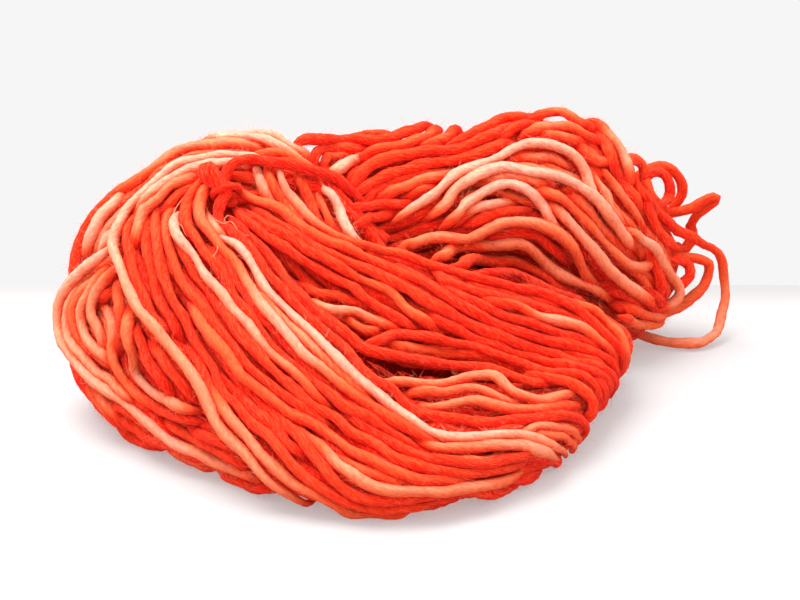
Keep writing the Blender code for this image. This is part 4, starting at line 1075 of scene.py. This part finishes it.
    "third_low_pale": ((0.1, 0.1, 0.3, 0.6, 0.7, 0.65, 0.7, 0.6, 0.5), -0.5, (248, 375), (264, 394),
                       (282, 413), (300, 431), (319, 449), (338, 465), (361, 480), (375, 485), (391, 488),
                       (418, 489), (445, 487), (470, 483), (495, 480), (505, 478), (515, 474),
                       (528, 464)),
    "over_third": ((0.3, 0.45, 0.5, 0.4), 0.5, (330, 450), (349, 463), (374, 475), (388, 480), (402, 484),
                   (430, 484), (456, 480)),
}
BACK_SHOWN_RADIUS = 2.2       # mm
LEFT_SHOWN_RADIUS = 2.1       # mm
FRONT_SHOWN_RADIUS = 1.95     # mm
BACK_PAINTED_LIGHT = 0.1              # painted light: the back's turns are drawn that much paler than their tables say, as the light falls more fully there
BACK_FADE = 16                # mm at each end over which the dye deepens
LEFT_FADE = 12                # mm
FRONT_FADE = 5                # mm
back_shown = [seen(BACK_SHOWN_RADIUS, BACK_FADE, np.array(dyes) + BACK_PAINTED_LIGHT, *turn)
              for dyes, *turn in BACK_SHOWN.values()]
left_shown = [seen(LEFT_SHOWN_RADIUS, LEFT_FADE, *turn) for turn in LEFT_SHOWN.values()]
front_shown = [seen(FRONT_SHOWN_RADIUS, FRONT_FADE, *turn) for turn in FRONT_SHOWN.values()]


# ---- How the strands settle -----------------------------------------------------------------------------
# Wool is soft and springy: where two turns would lie in one place they push each other aside until they
# only touch, and each stays as straight as it can. The table holds up the lowest ones.

CONTACT = 0.95                # of their thickness, at which two strands that press on each other touch
REACH = 7.5 * MM              # within which two points are watched
SAME_PLACE = 4                # points of one strand that are too near each other to be pushed apart
WATCHED = 6                   # rounds after which the points in reach are looked for again
SOFT_END = 16                 # mm at each end of a strand, inside the hank, which pushes less and less
PUSH = 0.6                    # of an overlap, which is taken away in a round
KEPT = 0.985                  # of how far a strand has moved, because it springs back
STRAIGHTENED = 2              # times in a round
MOST_MOVED = 6.0 * MM         # from where a strand was laid
LEAST_APART = 0.1 * MM        # so that nothing is divided by zero
ROUNDS, QUICK_ROUNDS = 60, 12


def search_tree(points):
    """A tree in which the point nearest to a place is found, by its number."""
    tree = kdtree.KDTree(len(points))
    for index, point in enumerate(points.tolist()):
        tree.insert(point, index)
    tree.balance()
    return tree


def neighbours(points, owners, places_along):
    """Pairs of points within reach of each other that aren't close together on the same strand."""
    tree = search_tree(points)
    first, second = [], []
    for index, point in enumerate(points.tolist()):
        for _, other, _ in tree.find_range(point, REACH):
            between = places_along[other] - places_along[index]
            if other > index and (owners[other] != owners[index] or between > SAME_PLACE):
                first.append(index)
                second.append(other)
    return np.array(first), np.array(second)


def settle(strands, fixed, rounds):
    """Moves the strands apart where they would overlap, and leaves the fixed ones as they are."""
    every = strands + fixed
    guides = np.concatenate([strand.line for strand in every])
    counts = [len(strand.line) for strand in every]
    owners = np.repeat(np.arange(len(every)), counts)
    places_along = np.concatenate([np.arange(count) for count in counts])
    to_end = np.concatenate([np.minimum(np.arange(count), np.arange(count)[::-1]) for count in counts])
    firmness = np.clip(to_end * POINT_SPACING / SOFT_END, 0, 1) ** 2
    radii = np.repeat([strand.radius for strand in every], counts) * MM
    firm = np.repeat([float(strand.firm) for strand in every], counts)
    free = owners < len(strands)
    firmness[~free] = 1
    before = np.maximum(np.arange(len(guides)) - 1, 0)
    after = np.minimum(np.arange(len(guides)) + 1, len(guides) - 1)
    before[owners[before] != owners] += 1
    after[owners[after] != owners] -= 1
    moved = np.zeros_like(guides)
    for number in range(rounds):
        places = guides + moved
        if number % WATCHED == 0:
            first, second = neighbours(places, owners, places_along)
        apart = places[first] - places[second]
        distance = np.maximum(np.linalg.norm(apart, axis=1), LEAST_APART)
        touching = CONTACT * (radii[first] + radii[second])
        overlap = np.maximum(touching - distance, 0) * np.minimum(firmness[first], firmness[second])
        push = apart / distance[:, None] * overlap[:, None] * PUSH
        share = firm[second] / (firm[first] + firm[second])
        for axis in range(3):
            moved[:, axis] += (np.bincount(first, push[:, axis] * share, len(guides))
                               - np.bincount(second, push[:, axis] * (1 - share), len(guides)))
        moved *= KEPT
        for _ in range(STRAIGHTENED):
            moved = 0.5 * moved + 0.25 * (moved[before] + moved[after])
        far = np.linalg.norm(moved, axis=1)
        moved *= np.minimum(1, MOST_MOVED / np.maximum(far, LEAST_APART))[:, None]
        moved[:, 2] = np.maximum(moved[:, 2], radii - guides[:, 2])
        moved[~free] = 0
    places = guides + moved
    starts = np.cumsum([0] + counts)
    for strand, start, end in zip(strands, starts, starts[1:]):
        strand.line = places[start:end]


shown = front_shown + left_shown + back_shown
hank_strands = front_strands + left_strands + back_strands + shown
settle(hank_strands, free_strands, ROUNDS)


# ---- The yarn of the hank -------------------------------------------------------------------------------
# The settled turns, drawn as round strands. Under them lies a shell in painted shade, as dark red as the
# inside of the hank where the light hardly reaches; it stands for the turns that can't be seen.

BACK_TOP = 42                 # turns of the back lobe's first layer, which the layer underneath follows
CORE_DEPTH = 12               # mm under the skin of the CAD's sheaves
CORE_VOXEL = 4                # mm
CORE_SMOOTHING = 6            # rounds
# Painted shade: the shell's two dark colours, mottled from one to the other.
CORE_SHADE_COLOURS = ((0.05, 0.001, 0.001, 1), (0.13, 0.002, 0.002, 1))

for strand in hank_strands:
    strand.drawn = strand.fine()
beside = search_tree(np.concatenate([strand.drawn[0] for strand in hank_strands + free_strands]))
sheaves = {"front_yarn": front_strands, "left_yarn": left_strands, "back_yarn_top": back_strands[:BACK_TOP],
           "back_yarn_under": back_strands[BACK_TOP:], "shown_yarn": shown}
for name, strands in sheaves.items():
    piece = spin(name, strands, beside)
    piece.data.materials.append(yarn_wool)
    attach(piece, "root")
    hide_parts("hank")

core = placed("inside_yarn_painted_shade", skin_mesh.copy())
remesh = core.modifiers.new("even", "REMESH")
remesh.mode = "VOXEL"
remesh.voxel_size = CORE_VOXEL * MM
shrink = core.modifiers.new("shrink", "DISPLACE")
shrink.mid_level = 0
shrink.strength = -CORE_DEPTH * MM
relax = core.modifiers.new("relax", "SMOOTH")
relax.factor = 0.5
relax.iterations = CORE_SMOOTHING
graph = bpy.context.evaluated_depsgraph_get()
core_shape = bpy.data.meshes.new_from_object(core.evaluated_get(graph))
core.modifiers.clear()
core.data = core_shape
core.data.shade_smooth()
core_material, core_start, core_shader = new_material("inner wool in painted shade", Roughness=1, Specular_IOR_Level=0)
core_noise = core_start.node("ShaderNodeTexNoise", Scale=400, Detail=3)
core_shade_colour = core_start.node("ShaderNodeMix", {"data_type": "RGBA"}, output=2, at0=core_noise,
                              at6=CORE_SHADE_COLOURS[0], at7=CORE_SHADE_COLOURS[1])
core_start.tree.links.new(core_shade_colour.socket, core_shader.inputs["Base Color"])
core.data.materials.clear()
core.data.materials.append(core_material)
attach(core, "root")
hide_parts("hank")


# ---- The fuzz -------------------------------------------------------------------------------------------
# Single hairs of wool stand out of the felted surface, most of them short and bent. They are spun into the
# yarn at one end and show best over the dark gaps between the turns.

HAIR_COUNT = 23500            # in each of the three pieces
HAIR_TRIES = 5                # for each hair, since most places on a turn have no room for one
HAIR_RADIUS = 0.04            # mm
HAIR_LENGTHS = (1.2, 4.6)     # mm
HAIR_SHARES = (0.5, 1)        # of that length, because many hairs are broken
HAIR_LEANS = (0.3, 1.2)       # how far one leans along the strand
HAIR_RISES = (0.25, 0.8)      # against how far it rises out of it
HAIR_BEND = 0.45              # of its length
HAIR_ROOT = 0.85              # of the strand's radius
HAIR_PLACE = 0.7              # of the way along a hair, where the room around it is looked at
HAIR_ROOM = 0.1               # mm between that place and the strands around it
LOWEST_PLACE = 0.3            # mm over the table
LOWEST_HAIR = 0.1             # mm
HAIR_DYE = 0.6                # of the paleness of the yarn that it stands out of
HAIR_PALENESS = 0.3           # added to that, because light comes through a single hair
# A hair is two three-sided spikes, foot to foot: how far along each ring of it lies, and the ring's corners.
HAIR_RINGS = ((0, 1), (0.45, 3), (1, 1))
HAIR_FACES = ((0, 2, 1), (0, 3, 2), (0, 1, 3), (4, 1, 2), (4, 2, 3), (4, 3, 1))


def hairs(name, strands):
    """One mesh of fine bent hairs that grow out of the strands wherever there is room around them."""
    drawn = [strand.drawn for strand in strands]
    lines, radii, paleness = (np.concatenate([parts[number] for parts in drawn]) for number in range(3))
    tangents = np.concatenate([np.gradient(parts[0], axis=0) for parts in drawn])
    tangents /= np.linalg.norm(tangents, axis=1)[:, None]
    chosen = rng.integers(0, len(lines), HAIR_COUNT * HAIR_TRIES)
    each = (len(chosen), 1)
    tangent, radius = tangents[chosen], radii[chosen][:, None] * MM
    outward = rng.normal(size=(len(chosen), 3))
    outward -= tangent * (outward * tangent).sum(1)[:, None]
    outward /= np.linalg.norm(outward, axis=1)[:, None]
    length = rng.uniform(*HAIR_LENGTHS, each) * rng.uniform(*HAIR_SHARES, each) * MM
    lean = tangent * rng.choice((-1, 1), each) * rng.uniform(*HAIR_LEANS, each)
    heading = outward * rng.uniform(*HAIR_RISES, each) + lean
    heading /= np.linalg.norm(heading, axis=1)[:, None]
    bend = rng.normal(0, HAIR_BEND, (len(chosen), 3))
    root = lines[chosen] + outward * radius * HAIR_ROOT
    middle = root + heading * length * HAIR_PLACE + bend * length * HAIR_PLACE ** 2
    room = np.array([beside.find(place)[2] for place in middle.tolist()])
    roomy = (room > (YARN_RADIUS + HAIR_ROOM) * MM) & (middle[:, 2] > LOWEST_PLACE * MM)
    kept = np.flatnonzero(roomy)[:HAIR_COUNT]
    root, heading, bend, length = root[kept], heading[kept], bend[kept], length[kept]
    side = np.cross(heading, rng.normal(size=heading.shape))
    side /= np.linalg.norm(side, axis=1)[:, None]
    other_side = np.cross(heading, side)
    corners = []
    for along, count in HAIR_RINGS:
        place = root + heading * length * along + bend * length * along ** 2
        place[:, 2] = np.maximum(place[:, 2], LOWEST_HAIR * MM)
        for angle in np.arange(count) * 2 * math.pi / 3:
            spoke = side * math.cos(angle) + other_side * math.sin(angle)
            corners.append(place + spoke * HAIR_RADIUS * MM * (count > 1))
    points = np.stack(corners, axis=1)
    faces = np.arange(len(kept))[:, None, None] * len(corners) + np.array(HAIR_FACES)
    mesh = bpy.data.meshes.new(name)
    mesh.from_pydata(points.reshape(-1, 3).tolist(), [], faces.reshape(-1, 3).tolist())
    give_dye_and_shade(mesh, np.repeat(dye_and_shade_colour(paleness[chosen[kept]] * HAIR_DYE + HAIR_PALENESS), len(corners), axis=0))
    mesh.shade_smooth()
    return placed(name, mesh)


# Four longer fibres have sprung out of the yarn near the tie and lie over it in curls.
STRAY_FIBRES = {
    "long_curl": ((187, 190), (183, 198), (177, 206), (173, 215), (176, 221), (182, 226), (184, 233),
                  (189, 238), (190, 245)),
    "by_the_tail": ((206, 212), (215, 219), (224, 224), (229, 221), (235, 224), (236, 231), (243, 234),
                    (250, 236), (262, 239)),
    "loop_in_gap": ((194, 258), (202, 255), (208, 260), (214, 255), (218, 247), (214, 238), (208, 232)),
    "small_hook": ((222, 232), (226, 227), (224, 220), (229, 215), (236, 220)),
}
STRAY_RADIUS = 0.11           # mm
STRAY_LIFT = 4.6              # mm nearer the camera than the turns
STRAY_STEPS = 60              # places along one
STRAY_DYE = (0.97, 0.30, 0.17, 1)
stray_curve = bpy.data.curves.new("stray_fibres", "CURVE")
stray_curve.dimensions = "3D"
stray_curve.bevel_depth = STRAY_RADIUS * MM
stray_curve.bevel_resolution = 1
stray_curve.use_fill_caps = True
for route in STRAY_FIBRES.values():
    places = evenly(seen(STRAY_RADIUS, 0, (1,), -STRAY_LIFT, *route).line, STRAY_STEPS)
    spline = stray_curve.splines.new("POLY")
    spline.points.add(len(places) - 1)
    spline.points.foreach_set("co", np.column_stack((places, np.ones(len(places)))).ravel())
stray_guide = placed("stray_guide", stray_curve)
graph = bpy.context.evaluated_depsgraph_get()
stray_shape = bpy.data.meshes.new_from_object(stray_guide.evaluated_get(graph))
bpy.data.objects.remove(stray_guide)
stray_wool, _, _ = new_material("stray fibres", Base_Color=STRAY_DYE, Roughness=0.9)
stray_shape.materials.clear()
stray_shape.materials.append(stray_wool)
stray_fibres = placed("stray_fibres", stray_shape)
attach(stray_fibres, "root")
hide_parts("hank")

hair_wool, hair_start, hair_shader = new_material("loose hairs", Roughness=0.9, Specular_IOR_Level=0.1)
hair_dye = hair_start.node("ShaderNodeAttribute", {"attribute_name": "dye_and_shade"}, output="Color")
hair_start.tree.links.new(hair_dye.socket, hair_shader.inputs["Base Color"])

for name, strands in (("front_fuzz", front_strands + front_shown), ("left_fuzz", left_strands + left_shown),
                      ("back_fuzz", back_strands + back_shown)):
    piece = hairs(name, strands)
    piece.data.materials.append(hair_wool)
    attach(piece, "root")
    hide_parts("hank")


# ---- The table and the light ----------------------------------------------------------------------------
# A plain white table with its far edge just behind the hank, under a large soft light from above. Painted
# shade greys its far edge.

TABLE_BACK = 133              # mm behind the origin
TABLE_SIZE = 3000             # mm
TABLE_WHITE = 0.30            # how much of the light it gives back
EDGE_SHADE_REACH = 45               # mm before its far edge, over which painted shade darkens it towards the wall's grey
# How much of the light the far edge gives back, in painted shade.
SHADED_EDGE_WHITE = 0.19
TABLE_GLOW = 0.36             # painted light: its own glow, which lifts the shade on it and stands for the light that comes through the thin table
# Painted reflection: the glow is faintly pink, as if lit back by the red yarn.
GLOW_AND_REFLECTION_TINT = (1, 0.93, 0.92, 1)
WALL_BACK = 1500              # mm behind the origin
WALL_SIDE = 3000              # mm to the left and right of it
WALL_HEIGHT = 2500            # mm above the table, and as much below it
WALL_COLOUR = (0.925, 0.92, 0.92, 1)
ROOM_LIGHT = 1.6
LIGHT_PLACE, LIGHT_TARGET = (-240, 60, 800), (0, 0, 40)       # plan, mm
LIGHT_SIZE = 700              # mm
LIGHT_POWER = 14              # W


def board(name, corners):
    """A flat piece with these corners, in millimetres from the origin."""
    mesh = bpy.data.meshes.new(name)
    mesh.from_pydata([[distance * MM for distance in corner] for corner in corners], [], [(0, 1, 2, 3)])
    return placed(name, mesh)


half = TABLE_SIZE / 2
table = board("table", ((-half, TABLE_BACK - TABLE_SIZE, 0), (half, TABLE_BACK - TABLE_SIZE, 0),
                        (half, TABLE_BACK, 0), (-half, TABLE_BACK, 0)))
table_material, table_start, table_shader = new_material(
    "white table", Roughness=0.6, Specular_IOR_Level=0, Emission_Color=GLOW_AND_REFLECTION_TINT,
    Emission_Strength=TABLE_GLOW)
# The table's white, darkened by painted shade towards its far edge.
place = table_start.node("ShaderNodeNewGeometry", output="Position")
deep = place.node("ShaderNodeSeparateXYZ", output="Y", Vector=place)
white = deep.node("ShaderNodeMapRange", {"interpolation_type": "SMOOTHSTEP"}, Value=deep,
                  From_Min=(TABLE_BACK - EDGE_SHADE_REACH) * MM, From_Max=TABLE_BACK * MM, To_Min=TABLE_WHITE,
                  To_Max=SHADED_EDGE_WHITE)
table_start.tree.links.new(white.socket, table_shader.inputs["Base Color"])
table.data.materials.append(table_material)

wall = board("wall", ((-WALL_SIDE, WALL_BACK, -WALL_HEIGHT), (WALL_SIDE, WALL_BACK, -WALL_HEIGHT),
                      (WALL_SIDE, WALL_BACK, WALL_HEIGHT), (-WALL_SIDE, WALL_BACK, WALL_HEIGHT)))
wall_material, _, _ = new_material("bright wall", Base_Color=(0, 0, 0, 1), Specular_IOR_Level=0,
                                   Emission_Color=WALL_COLOUR, Emission_Strength=1)
wall.data.materials.append(wall_material)

world = bpy.data.worlds.new("room")
world.use_nodes = True
world.node_tree.nodes["Background"].inputs["Color"].default_value = (1, 1, 1, 1)
world.node_tree.nodes["Background"].inputs["Strength"].default_value = ROOM_LIGHT
bpy.context.scene.world = world

light_data = bpy.data.lights.new("top_light", "AREA")
light_data.size = LIGHT_SIZE * MM
light_data.energy = LIGHT_POWER
light = placed("top_light", light_data)
light.location = from_plan(LIGHT_PLACE)
facing = Vector(from_plan(LIGHT_TARGET)) - light.location
light.rotation_euler = facing.to_track_quat("-Z", "Y").to_euler()
bpy.context.scene.view_settings.view_transform = "Standard"
